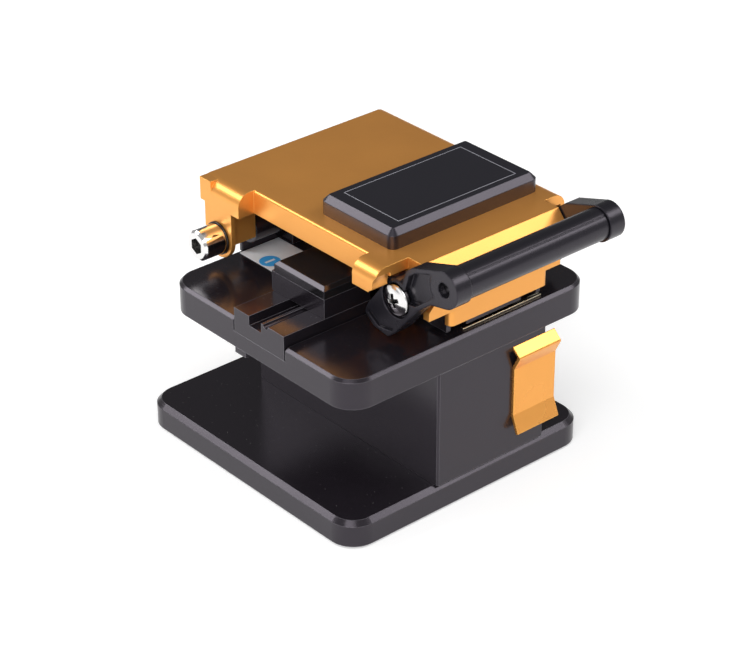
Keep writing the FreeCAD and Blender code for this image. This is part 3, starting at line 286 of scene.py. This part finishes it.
def build_grain_group():
    """Fine blasted grain: a height for bump and a slow variation for colour and roughness."""
    group, start, end = new_group(
        "blasted_grain",
        [("Grain", "NodeSocketFloat", 9000.0), ("Cloud", "NodeSocketFloat", 60.0)],
        [("Height", "NodeSocketFloat"), ("Variation", "NodeSocketFloat")],
    )
    where = add(group, "ShaderNodeTexCoord")
    grain = add(group, "ShaderNodeTexNoise", sockets={"Detail": 3.0, "Roughness": 0.6})
    cloud = add(group, "ShaderNodeTexNoise", sockets={"Detail": 4.0, "Roughness": 0.55})
    link = group.links.new
    for noise, label in ((grain, "Grain"), (cloud, "Cloud")):
        link(where.outputs["Object"], noise.inputs["Vector"])
        link(start.outputs[label], noise.inputs["Scale"])
    link(grain.outputs["Fac"], end.inputs["Height"])
    link(cloud.outputs["Fac"], end.inputs["Variation"])
    return group


def build_dust_group():
    """Sparse specks of dust that settle on faces turned upwards."""
    group, start, end = new_group(
        "settled_dust",
        [("Scale", "NodeSocketFloat", 900.0), ("Amount", "NodeSocketFloat", 0.08)],
        [("Dust", "NodeSocketFloat")],
    )
    where = add(group, "ShaderNodeTexCoord")
    cells = add(group, "ShaderNodeTexVoronoi", feature="F1", sockets={"Randomness": 1.0})
    near = add(group, "ShaderNodeMath", operation="LESS_THAN")
    up = add(group, "ShaderNodeSeparateXYZ")
    geometry = add(group, "ShaderNodeNewGeometry")
    mask = add(group, "ShaderNodeMath", operation="MULTIPLY", use_clamp=True)
    link = group.links.new
    link(where.outputs["Object"], cells.inputs["Vector"])
    link(start.outputs["Scale"], cells.inputs["Scale"])
    link(cells.outputs["Distance"], near.inputs[0])
    link(start.outputs["Amount"], near.inputs[1])
    link(geometry.outputs["Normal"], up.inputs[0])
    link(near.outputs[0], mask.inputs[0])
    link(up.outputs["Z"], mask.inputs[1])
    link(mask.outputs[0], end.inputs["Dust"])
    return group


def build_recess_group():
    """A mask that is 1 in deep recesses, where light hardly reaches; the finishes use it to paint
    shade there.
    """
    group, start, end = new_group(
        "recess_shade",
        [("Reach", "NodeSocketFloat", 0.0015), ("Strength", "NodeSocketFloat", 1.0)],
        [("Recess", "NodeSocketFloat")],
    )
    hidden = add(group, "ShaderNodeAmbientOcclusion", samples=SHADING_SAMPLES)
    recess = clamped_rest(group, hidden.outputs["AO"], start.outputs["Strength"])
    group.links.new(start.outputs["Reach"], hidden.inputs["Distance"])
    group.links.new(recess, end.inputs["Recess"])
    return group


GROUP_BUILDERS = {
    "softened_edges": build_edge_group,
    "blasted_grain": build_grain_group,
    "settled_dust": build_dust_group,
    "recess_shade": build_recess_group,
}
GROUPS = {}


def node_group(name):
    """The node group of that name, built the first time it is asked for."""
    if name not in GROUPS:
        GROUPS[name] = GROUP_BUILDERS[name]()
    return GROUPS[name]


# ---------------------------------------------------------------- materials


def place_group(tree, name, **sockets):
    """A node that uses one of the node groups; its sockets are given by their labels."""
    return add(tree, "ShaderNodeGroup", node_tree=node_group(name), sockets=sockets)


def mix_colour(tree, factor, first, second):
    """A colour mix; first and second are colours or sockets."""
    node = add(tree, "ShaderNodeMix", data_type="RGBA")
    tree.links.new(factor, node.inputs["Factor"])
    for socket, value in ((node.inputs[MIX_FIRST], first), (node.inputs[MIX_SECOND], second)):
        if isinstance(value, bpy.types.NodeSocket):
            tree.links.new(value, socket)
        else:
            socket.default_value = value
    return node.outputs[MIX_RESULT]


def scaled(tree, value, low, high):
    """A 0 to 1 value stretched between low and high."""
    node = add(tree, "ShaderNodeMapRange", sockets={"To Min": low, "To Max": high})
    tree.links.new(value, node.inputs["Value"])
    return node.outputs["Result"]


def shade(colour, factor):
    """The colour made lighter or darker by a factor, with no channel over 1."""
    return tuple(min(1.0, channel * factor) for channel in colour[:3]) + (1.0,)


def machined(name, base, rough, metallic=0.0, edge_wear_and_highlight_gain=0.0, grain_bump=0.05, soft=None,
             specular=0.5, spread=0.06, edge_wear_and_highlight_tint=None, dust=0.0, recess=0.0, sheen=None):
    """A finish of blasted grain, slow drift of colour and roughness, and broken edges lightened as
    wear and painted highlight; it can also darken deep recesses as painted shade.
    """
    scene = bpy.context.scene
    material = bpy.data.materials.new(name)
    material.use_nodes = True
    tree = material.node_tree
    shader = tree.nodes["Principled BSDF"]
    shader.inputs["Metallic"].default_value = metallic
    shader.inputs["Specular IOR Level"].default_value = specular
    radius = scene.cleaver_sizes.soft_edge if soft is None else soft
    edges = place_group(tree, "softened_edges", Radius=radius)
    grain = place_group(tree, "blasted_grain")
    drift = mix_colour(tree, grain.outputs["Variation"], shade(base, 1.0 - COLOUR_DRIFT),
                       shade(base, 1.0 + COLOUR_DRIFT))
    # The broken edges take a lighter colour: partly wear, partly painted highlight.
    worn_and_highlit_edge = shade(base, 1.0 + edge_wear_and_highlight_gain) if edge_wear_and_highlight_tint is None else edge_wear_and_highlight_tint
    surface = mix_colour(tree, edges.outputs["Edge"], drift, worn_and_highlit_edge)
    if dust:
        specks = place_group(tree, "settled_dust", Amount=dust)
        surface = mix_colour(tree, specks.outputs["Dust"], surface, scene.cleaver_colours.dust)
    # Painted shade: the colour turns darker in deep recesses.
    if recess:
        painted_recess_shade = place_group(tree, "recess_shade", Strength=recess)
        surface = mix_colour(tree, painted_recess_shade.outputs["Recess"], surface, shade(base, RECESS_PAINTED_SHADE))
    if sheen is not None:
        shader.inputs["Specular Tint"].default_value = sheen
    tree.links.new(surface, shader.inputs["Base Color"])
    roughness = scaled(tree, grain.outputs["Variation"], rough - spread, rough + spread)
    tree.links.new(roughness, shader.inputs["Roughness"])
    bump = add(tree, "ShaderNodeBump", sockets={"Strength": grain_bump, "Distance": GRAIN_HEIGHT})
    tree.links.new(grain.outputs["Height"], bump.inputs["Height"])
    tree.links.new(edges.outputs["Normal"], bump.inputs["Normal"])
    tree.links.new(bump.outputs["Normal"], shader.inputs["Normal"])
    return material


def make_materials():
    """Every finish of the tool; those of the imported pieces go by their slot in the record."""
    c = bpy.context.scene.cleaver_colours
    moulded = bpy.context.scene.cleaver_sizes.moulded_edge
    finishes = {
        # Each edge gain or edge colour lightens the broken edges as wear and painted highlight.
        "gold_anodised": dict(base=c.gold, rough=0.32, metallic=0.66, edge_wear_and_highlight_gain=0.22,
                              grain_bump=0.10),
        "gold_spring": dict(base=c.gold, rough=0.27, metallic=0.8, edge_wear_and_highlight_gain=0.22),
        "black_anodised": dict(base=c.black, rough=0.22, edge_wear_and_highlight_tint=c.black_edge_wear_and_highlight, dust=0.04,
                               sheen=c.sheen),
        "gloss_black": dict(base=c.gloss, rough=0.13, grain_bump=0.01, spread=0.03,
                            edge_wear_and_highlight_tint=c.gloss_edge_wear_and_highlight, sheen=c.sheen),
        # The badge's broken edges are lightened strongly, as painted highlight on its bevels.
        "badge_black": dict(base=c.badge, rough=0.30, edge_wear_and_highlight_gain=1.0, grain_bump=0.02,
                            specular=0.6, sheen=c.sheen),
        "black_plastic": dict(base=c.plastic, rough=0.28, edge_wear_and_highlight_gain=0.4, grain_bump=0.04,
                              soft=moulded, specular=0.45, sheen=c.sheen),
        "black_rubber": dict(base=c.rubber, rough=0.75, edge_wear_and_highlight_gain=0.5, grain_bump=0.3),
        # The steels paint shade into their recesses and sockets.
        "bright_steel": dict(base=c.steel, rough=0.12, metallic=1.0, edge_wear_and_highlight_gain=0.1,
                             grain_bump=0.02, spread=0.03, recess=1.6),
        "dark_steel": dict(base=c.oxide, rough=0.32, metallic=1.0, edge_wear_and_highlight_gain=1.5,
                           grain_bump=0.04, recess=1.0),
        "blade_metal": dict(base=c.blade, rough=0.18, metallic=1.0, edge_wear_and_highlight_gain=0.3,
                            grain_bump=0.02),
        "label_film": dict(base=c.film, rough=0.38, grain_bump=0.02),
        "label_disc": dict(base=c.disc, rough=0.35, grain_bump=0.02),
        "pale_brass": dict(base=c.strip, rough=0.16, metallic=1.0, edge_wear_and_highlight_gain=0.1,
                           grain_bump=0.02),
        "line_silver": dict(base=c.line, rough=0.4, grain_bump=0.02),
    }
    return {name: machined(name, **values) for name, values in finishes.items()}


MATERIALS = {}


def finish(name):
    """The finish of that name; all are made the first time one is asked for."""
    if not MATERIALS:
        MATERIALS.update(make_materials())
    return MATERIALS[name]


# ---------------------------------------------------------------- mesh helpers


def turned(profile, steps=64):
    """A closed solid turned about Z; the profile holds (radius, height) pairs.

    It starts and ends on the axis, or comes back to its start where the solid has a bore.
    """
    work = bmesh.new()
    line = [work.verts.new((radius, 0.0, height)) for radius, height in profile]
    edges = [work.edges.new(pair) for pair in zip(line, line[1:])]
    bmesh.ops.spin(work, geom=line + edges, cent=(0, 0, 0), axis=(0, 0, 1), angle=math.tau,
                   steps=steps, use_merge=True, use_duplicate=False)
    return close_up(work)


def close_up(work):
    """Merges doubles and turns the faces outwards."""
    bmesh.ops.remove_doubles(work, verts=work.verts, dist=MERGE_DISTANCE)
    bmesh.ops.recalc_face_normals(work, faces=work.faces)
    return work


def packed_copy(node):
    """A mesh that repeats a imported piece, merged and without its stored normals."""
    mesh = frame["nodes"][node].data.copy()
    stored = mesh.attributes.get("custom_normal")
    if stored:
        mesh.attributes.remove(stored)
    work = bmesh.new()
    work.from_mesh(mesh)
    bpy.data.meshes.remove(mesh)
    return close_up(work)


def block(low, high):
    """A plain block between two corners."""
    work = bmesh.new()
    size = Vector(high) - Vector(low)
    middle = (Vector(high) + Vector(low)) / 2
    place = Matrix.Translation(middle) @ Matrix.Diagonal((*size, 1.0))
    bmesh.ops.create_cube(work, size=1.0, matrix=place)
    return work


def softened_block(low, high, edge):
    """A block between two corners with all its edges rounded."""
    work = block(low, high)
    bmesh.ops.bevel(work, geom=work.edges[:], offset=edge, offset_type="OFFSET", affect="EDGES",
                    segments=2, profile=0.5, material=-1)
    return work


def loose_object(work, name):
    """A plain object that holds the mesh until it is cut."""
    mesh = bpy.data.meshes.new(name)
    work.to_mesh(mesh)
    work.free()
    thing = bpy.data.objects.new(name, mesh)
    bpy.context.scene.collection.objects.link(thing)
    return thing


def carved(work, tool, name):
    """The first mesh with the second cut out of it."""
    thing = loose_object(work, name)
    cutter = loose_object(tool, name + "_tool")
    modifier = thing.modifiers.new("cut", "BOOLEAN")
    modifier.operation = "DIFFERENCE"
    modifier.solver = "EXACT"
    modifier.object = cutter
    bpy.context.view_layer.update()
    evaluated = thing.evaluated_get(bpy.context.evaluated_depsgraph_get())
    result = bmesh.new()
    result.from_mesh(evaluated.data)
    if not result.faces:
        raise RuntimeError(f"nothing is left of {name} after the cut")
    bpy.data.objects.remove(thing)
    bpy.data.objects.remove(cutter)
    return result


def copies(work, places):
    """One mesh that holds the shape once at each place."""
    shape = bpy.data.meshes.new("shape")
    work.to_mesh(shape)
    work.free()
    result = bmesh.new()
    for place in places:
        before = len(result.verts)
        result.from_mesh(shape)
        result.verts.ensure_lookup_table()
        bmesh.ops.transform(result, matrix=place, verts=result.verts[before:])
    bpy.data.meshes.remove(shape)
    return result


def to_object(work, name, body, slot, smooth_angle=35.0, material=None, replaces=None):
    """Turns a mesh into a finished piece that rides on its body."""
    limit = math.radians(smooth_angle)
    for edge in work.edges:
        edge.smooth = len(edge.link_faces) == 2 and edge.calc_face_angle(0.0) <= limit
    for face in work.faces:
        face.smooth = True
    piece = loose_object(work, name)
    piece.data.materials.append(finish(material or slot))
    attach(piece, body)
    if replaces:
        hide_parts(replaces)
    return piece


# ---------------------------------------------------------------- pieces


def pan_head(radius, high, dome, rim, shank, reach, arc_steps=7):
    """A turned pan head screw, its crown at the origin and its shank towards -Z."""
    profile = [(0.0, 0.0)]
    flat = radius - rim
    for n in range(1, arc_steps + 1):
        share = n / arc_steps
        profile.append((flat * share, -dome * share ** 2))
    for n in range(1, arc_steps + 1):
        turn = math.pi / 2 * n / arc_steps
        profile.append((flat + rim * math.sin(turn), -dome - rim * (1 - math.cos(turn))))
    profile += [(radius, -high), (shank, -high), (shank, -high - reach), (0.0, -high - reach)]
    return turned(profile)


def cross_recess(work, wide, long, deep, name):
    """Cuts the two tapered arms of a cross recess into a screw's crown."""
    for turn in (0.0, math.pi / 2):
        arm = block((-long / 2, -wide / 2, -deep), (long / 2, wide / 2, deep))
        floor = [corner for corner in arm.verts if corner.co.z < 0]
        bmesh.ops.scale(arm, vec=(SLOT_FLOOR_LONG, SLOT_FLOOR_WIDE, 1.0), verts=floor)
        bmesh.ops.rotate(arm, cent=(0, 0, 0), matrix=Matrix.Rotation(turn, 3, "Z"), verts=arm.verts)
        work = carved(work, arm, name)
    return work


def cap_head(radius, high, edge, shank, reach, socket, deep, name):
    """A turned cap screw with a hex socket, its crown at the origin and its shank towards -Z."""
    profile = [(0.0, 0.0), (radius - edge, 0.0), (radius, -edge), (radius, -high), (shank, -high),
               (shank, -high - reach), (0.0, -high - reach)]
    hexagon = bmesh.new()
    bmesh.ops.create_cone(hexagon, cap_ends=True, segments=6, radius1=socket, radius2=socket,
                          depth=deep * 2)
    return carved(turned(profile), hexagon, name)


class CLEAVER_OT_finish_frame(bpy.types.Operator):
    """Give every machined, moulded and plated piece its finish"""

    bl_idname = "cleaver.finish_frame"
    bl_label = "Finish frame pieces"

    def execute(self, context):
        slots = {part["node"]: part["material_slot"] for part in frame["record"]["subparts"]}
        for node, thing in frame["nodes"].items():
            thing.data.materials.clear()
            thing.data.materials.append(finish(slots[node]))
        return {"FINISHED"}


class CLEAVER_OT_pivot_screws(bpy.types.Operator):
    """Model the two pan head screws with a cross recess that hold the press bar"""

    bl_idname = "cleaver.pivot_screws"
    bl_label = "Pivot screws"

    head_high: length("Head height", "Height of the pan head", 1.5)
    shank: length("Shank radius", "Radius of the shank", 0.98)
    turn: FloatProperty(name="Turn", description="Turn of the cross recess", default=0.35,
                        subtype="ANGLE")

    def execute(self, context):
        sizes = context.scene.cleaver_sizes
        low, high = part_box("pivot_screws")
        middle = (low + high) / 2
        radius = (high.z - low.z) / 2
        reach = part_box("handle_arm_left")[1].x - low.x
        work = pan_head(radius, self.head_high, sizes.pan_dome, sizes.pan_rim, self.shank, reach)
        work = cross_recess(work, sizes.cross_wide, sizes.cross_long, sizes.cross_deep,
                            "pivot_screw")
        spun = Matrix.Rotation(self.turn, 4, "Z")
        places = [
            Matrix.Translation((side, middle.y, middle.z)) @ Matrix.Rotation(facing, 4, "Y") @ spun
            for side, facing in ((low.x, -math.pi / 2), (high.x, math.pi / 2))
        ]
        to_object(copies(work, places), "pivot_screw_pair", "lid", "bright_steel",
                  replaces="pivot_screws")
        return {"FINISHED"}


class CLEAVER_OT_cap_screws(bpy.types.Operator):
    """Model the cap screws with hex sockets that hold the deck and the base to the column"""

    bl_idname = "cleaver.cap_screws"
    bl_label = "Cap screws"

    head: length("Head radius", "Radius of the head", 2.75)
    head_high: length("Head height", "Height of the head", 1.8)
    shank: length("Shank radius", "Radius of the shank", 1.45)

    def execute(self, context):
        low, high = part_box("deck_screws")
        y = (low.y + high.y) / 2
        downwards = [Matrix.Translation((x, y, high.z))
                     for x in (low.x + self.head, high.x - self.head)]
        self.pair(context, "deck_cap_screws", "deck_screws", high.z - low.z, downwards)
        low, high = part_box("base_screws")
        x = (low.x + high.x) / 2
        upwards = [Matrix.Translation((x, y, low.z)) @ Matrix.Rotation(math.pi, 4, "X")
                   for y in (low.y + self.head, high.y - self.head)]
        self.pair(context, "base_cap_screws", "base_screws", high.z - low.z, upwards)
        return {"FINISHED"}

    def pair(self, context, name, node, tall, places):
        """Two like screws as one piece."""
        sizes = context.scene.cleaver_sizes
        work = cap_head(self.head, self.head_high, sizes.cap_edge, self.shank,
                        tall - self.head_high, sizes.socket_reach, sizes.socket_deep, name)
        to_object(copies(work, places), name, "stand", "dark_steel", replaces=node)


class CLEAVER_OT_grip(bpy.types.Operator):
    """Model the press bar's moulded grip with its seam"""

    bl_idname = "cleaver.grip"
    bl_label = "Grip"

    bore: length("Bore radius", "Radius of the hole for the rod", 1.5)
    end_round: length("End edge", "Bevel at the grip's ends", 0.2)
    seam_turn: angle("Seam turn", "Place of the seam round the grip", 128.0)

    def execute(self, context):
        sizes = context.scene.cleaver_sizes
        low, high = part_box("handle_grip")
        radius = (high.z - low.z) / 2
        half = (high.x - low.x) / 2
        edge = self.end_round
        profile = [(self.bore, -half), (radius - edge, -half), (radius, edge - half),
                   (radius, half - edge), (radius - edge, half), (self.bore, half),
                   (self.bore, -half)]
        seam = block((radius - sizes.seam_deep, -sizes.seam_wide / 2, -half * 2),
                     (radius * 2, sizes.seam_wide / 2, half * 2))
        work = carved(turned(profile, steps=72), seam, "grip")
        place = (Matrix.Translation((low + high) / 2)
                 @ Matrix.Rotation(self.seam_turn, 4, "X")
                 @ Matrix.Rotation(math.pi / 2, 4, "Z")
                 @ Matrix.Rotation(math.pi / 2, 4, "X"))
        to_object(copies(work, (place,)), "press_grip", "handle", "black_plastic",
                  replaces="handle_grip")
        return {"FINISHED"}


class CLEAVER_OT_badge(bpy.types.Operator):
    """Model the bare badge and the thin line inlaid round its face"""

    bl_idname = "cleaver.badge"
    bl_label = "Badge"

    def execute(self, context):
        sizes = context.scene.cleaver_sizes
        groove = self.ring(sizes, sizes.line_deep, sizes.line_deep)
        to_object(carved(packed_copy("badge_plate"), groove, "badge"), "badge_body", "lid",
                  "badge_black", replaces="badge_plate")
        line = self.ring(sizes, sizes.line_deep, 0.0)
        to_object(line, "badge_line", "lid", "badge_black", material="line_silver")
        return {"FINISHED"}

    def ring(self, sizes, deep, over):
        """A square ring that goes deep into the badge's face and stands over it."""
        low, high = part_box("badge_plate")
        middle = Vector(((low.x + high.x) / 2, (low.y + high.y) / 2, high.z - deep))
        long = high.x - low.x - 2 * sizes.line_inset_x
        wide = high.y - low.y - 2 * sizes.line_inset_y
        work = bmesh.new()
        place = Matrix.Translation(middle) @ Matrix.Diagonal((long, wide, 1.0, 1.0))
        bmesh.ops.create_grid(work, x_segments=1, y_segments=1, size=0.5, matrix=place)
        inner = work.faces[:]
        bmesh.ops.inset_region(work, faces=inner, thickness=sizes.line_wide, depth=0.0,
                               use_boundary=True, use_even_offset=True)
        bmesh.ops.delete(work, geom=inner, context="FACES_ONLY")
        raised = bmesh.ops.extrude_face_region(work, geom=work.faces[:], use_keep_orig=True)
        tops = [item for item in raised["geom"] if isinstance(item, bmesh.types.BMVert)]
        bmesh.ops.translate(work, vec=(0, 0, deep + over), verts=tops)
        return close_up(work)


class CLEAVER_OT_label(bpy.types.Operator):
    """Model the round mark on the deck's bare film label"""

    bl_idname = "cleaver.label"
    bl_label = "Label"

    def execute(self, context):
        sizes = context.scene.cleaver_sizes
        low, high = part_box("caution_label")
        ink = sizes.ink_thick
        centre = Vector((low.x + sizes.disc_side, low.y + sizes.disc_front, high.z + ink / 2))
        disc = bmesh.new()
        radius = sizes.disc_radius
        bmesh.ops.create_cone(disc, cap_ends=True, segments=64, radius1=radius, radius2=radius,
                              depth=ink, matrix=Matrix.Translation(centre))
        to_object(disc, "label_mark", "stand", "label_film", material="label_disc")
        half = Vector((sizes.bar_long / 2, sizes.bar_wide / 2, 0.0))
        top = Vector((0.0, 0.0, ink / 2))
        bar = block(centre - half + top, centre + half + top * 3)
        to_object(bar, "label_bar", "stand", "label_film")
        return {"FINISHED"}


class CLEAVER_OT_hinge_wall(bpy.types.Operator):
    """Model the low wall behind the label, which closes the gap under the hinge barrel"""

    bl_idname = "cleaver.hinge_wall"
    bl_label = "Hinge wall"

    def execute(self, context):
        sizes = context.scene.cleaver_sizes
        barrel_low, barrel_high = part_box("hinge_bracket")
        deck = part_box("deck_plate")[1]
        back = deck.y - sizes.wall_back
        work = softened_block((barrel_low.x, back - sizes.wall_deep, deck.z),
                              (barrel_high.x, back, deck.z + sizes.wall_high), sizes.soft_edge)
        to_object(work, "hinge_wall", "stand", "black_anodised")
        return {"FINISHED"}


class CLEAVER_OT_stop_screw(bpy.types.Operator):
    """Model the bright strip at the deck's front edge and the small pan head screw behind it"""

    bl_idname = "cleaver.stop_screw"
    bl_label = "Stop strip and screw"

    def execute(self, context):
        sizes = context.scene.cleaver_sizes
        low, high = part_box("stop_strip")
        strip = softened_block(low, high, sizes.strip_edge)
        to_object(strip, "stop_strip_bar", "stand", "bright_steel", material="pale_brass",
                  replaces="stop_strip")
        radius, tall = sizes.stop_radius, sizes.stop_high
        work = pan_head(radius, tall, tall * STOP_DOME, tall * STOP_RIM, radius * STOP_SHANK, tall)
        work = cross_recess(work, radius * STOP_SLOT_WIDE, radius * STOP_SLOT_LONG,
                            tall * STOP_SLOT_DEEP, "stop_screw")
        spot = (low.x + sizes.stop_side, high.y + sizes.stop_back, low.z + tall)
        to_object(copies(work, (Matrix.Translation(spot),)), "stop_screw", "stand", "bright_steel")
        return {"FINISHED"}


# ---------------------------------------------------------------- stage


class CLEAVER_OT_stage(bpy.types.Operator):
    """Set out the pale floor, the soft studio light and the camera"""

    bl_idname = "cleaver.stage"
    bl_label = "Stage"

    def execute(self, context):
        scene = context.scene
        stage = scene.cleaver_stage
        self.floor(scene)
        self.world(scene)
        self.softbox("softbox_right", stage, stage.right_side, stage.right_power, stage.lamp_size)
        self.softbox("softbox_left", stage, stage.left_side, stage.left_power, stage.lamp_size)
        self.softbox("softbox_fill", stage, stage.fill_side, stage.fill_power, stage.fill_size)
        self.camera(scene)
        scene.view_settings.view_transform = "Standard"
        return {"FINISHED"}

    def floor(self, scene):
        """A wide disc that shows white and keeps the tool's soft shadow."""
        stage = scene.cleaver_stage
        work = bmesh.new()
        bmesh.ops.create_circle(work, cap_ends=True, segments=96, radius=stage.floor_radius)
        floor = loose_object(work, "floor")
        material = bpy.data.materials.new("pale_floor")
        material.use_nodes = True
        tree = material.node_tree
        shader = tree.nodes["Principled BSDF"]
        shader.inputs["Base Color"].default_value = scene.cleaver_colours.floor
        shader.inputs["Roughness"].default_value = stage.floor_rough
        shader.inputs["Specular IOR Level"].default_value = stage.floor_sheen
        shader.inputs["Emission Color"].default_value = (1.0, 1.0, 1.0, 1.0)
        path = add(tree, "ShaderNodeLightPath")
        seen = path.outputs["Is Camera Ray"]
        for kind in ("Is Glossy Ray", "Is Transmission Ray"):
            either = add(tree, "ShaderNodeMath", operation="MAXIMUM")
            tree.links.new(seen, either.inputs[0])
            tree.links.new(path.outputs[kind], either.inputs[1])
            seen = either.outputs[0]
        glow = add(tree, "ShaderNodeMath", operation="MULTIPLY")
        tree.links.new(seen, glow.inputs[0])
        glow.inputs[1].default_value = stage.floor_glow
        tree.links.new(glow.outputs[0], shader.inputs["Emission Strength"])
        floor.data.materials.append(material)

    def world(self, scene):
        """An even room, pale to the camera, with a darker corner that the level faces mirror."""
        stage = scene.cleaver_stage
        world = bpy.data.worlds.new("room")
        scene.world = world
        world.use_nodes = True
        tree = world.node_tree
        background = tree.nodes["Background"]
        background.inputs["Color"].default_value = (1.0, 1.0, 1.0, 1.0)
        where = add(tree, "ShaderNodeTexCoord")
        toward = add(tree, "ShaderNodeVectorMath", operation="DOT_PRODUCT")
        toward.inputs[1].default_value = Vector(stage.corner_side).normalized()
        fade = add(tree, "ShaderNodeMapRange", interpolation_type="SMOOTHSTEP",
                   sockets={"From Min": stage.corner_start, "From Max": stage.corner_full,
                            "To Min": stage.room, "To Max": stage.corner})
        tree.links.new(where.outputs["Generated"], toward.inputs[0])
        tree.links.new(toward.outputs["Value"], fade.inputs["Value"])
        path = add(tree, "ShaderNodeLightPath")
        backdrop = add(tree, "ShaderNodeMath", operation="MULTIPLY")
        tree.links.new(path.outputs["Is Camera Ray"], backdrop.inputs[0])
        backdrop.inputs[1].default_value = stage.backdrop
        strength = add(tree, "ShaderNodeMath", operation="MAXIMUM")
        tree.links.new(fade.outputs["Result"], strength.inputs[0])
        tree.links.new(backdrop.outputs[0], strength.inputs[1])
        tree.links.new(strength.outputs[0], background.inputs["Strength"])

    def softbox(self, name, stage, side, power, size):
        """A square soft lamp that stands to one side and faces the tool."""
        light = bpy.data.lights.new(name, "AREA")
        light.shape = "SQUARE"
        light.size = size
        light.energy = power
        lamp = bpy.data.objects.new(name, light)
        bpy.context.scene.collection.objects.link(lamp)
        toward = Vector(side).normalized()
        lamp.location = toward * stage.lamp_distance + Vector((0.0, 0.0, stage.lamp_aim))
        lamp.rotation_euler = toward.to_track_quat("Z", "Y").to_euler()

    def camera(self, scene):
        """The camera at its place, turned by its three angles."""
        stage = scene.cleaver_stage
        data = bpy.data.cameras.new("camera")
        data.lens = stage.lens
        data.sensor_width = SENSOR_WIDTH
        data.sensor_fit = "HORIZONTAL"
        data.clip_start = 0.01
        data.clip_end = 20.0
        camera = bpy.data.objects.new("camera", data)
        scene.collection.objects.link(camera)
        turn = (Matrix.Rotation(stage.azimuth, 4, "Z")
                @ Matrix.Rotation(math.pi / 2 - stage.elevation, 4, "X")
                @ Matrix.Rotation(stage.roll, 4, "Z"))
        camera.matrix_world = Matrix.Translation(Vector(stage.place)) @ turn
        scene.camera = camera


# ---------------------------------------------------------------- panel and registration


class CLEAVER_PT_panel(bpy.types.Panel):
    """The cleaver's pieces and settings"""

    bl_label = "Fibre Cleaver"
    bl_idname = "CLEAVER_PT_panel"
    bl_space_type = "VIEW_3D"
    bl_region_type = "UI"
    bl_category = "Cleaver"

    def draw(self, context):
        for operator in OPERATORS:
            self.layout.operator(operator.bl_idname)
        for group_name in ("cleaver_sizes", "cleaver_colours", "cleaver_stage"):
            box = self.layout.box()
            values = getattr(context.scene, group_name)
            for name in type(values).__annotations__:
                box.prop(values, name)


OPERATORS = (
    CLEAVER_OT_finish_frame,
    CLEAVER_OT_pivot_screws,
    CLEAVER_OT_cap_screws,
    CLEAVER_OT_grip,
    CLEAVER_OT_badge,
    CLEAVER_OT_label,
    CLEAVER_OT_hinge_wall,
    CLEAVER_OT_stop_screw,
    CLEAVER_OT_stage,
)
SETTINGS = (
    ("cleaver_sizes", CleaverSizes),
    ("cleaver_colours", CleaverColours),
    ("cleaver_stage", CleaverStage),
)


def register():
    """Registers the settings, the operators and the panel."""
    for name, settings in SETTINGS:
        bpy.utils.register_class(settings)
        setattr(bpy.types.Scene, name, PointerProperty(type=settings))
    for operator in OPERATORS:
        bpy.utils.register_class(operator)
    bpy.utils.register_class(CLEAVER_PT_panel)


def unregister():
    """Takes them all away again, last one first."""
    bpy.utils.unregister_class(CLEAVER_PT_panel)
    for operator in reversed(OPERATORS):
        bpy.utils.unregister_class(operator)
    for name, settings in reversed(SETTINGS):
        delattr(bpy.types.Scene, name)
        bpy.utils.unregister_class(settings)


def main():
    """Registers the add-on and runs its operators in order."""
    register()
    for operator in OPERATORS:
        family, action = operator.bl_idname.split(".")
        getattr(getattr(bpy.ops, family), action)()


if __name__ == "__main__":
    main()
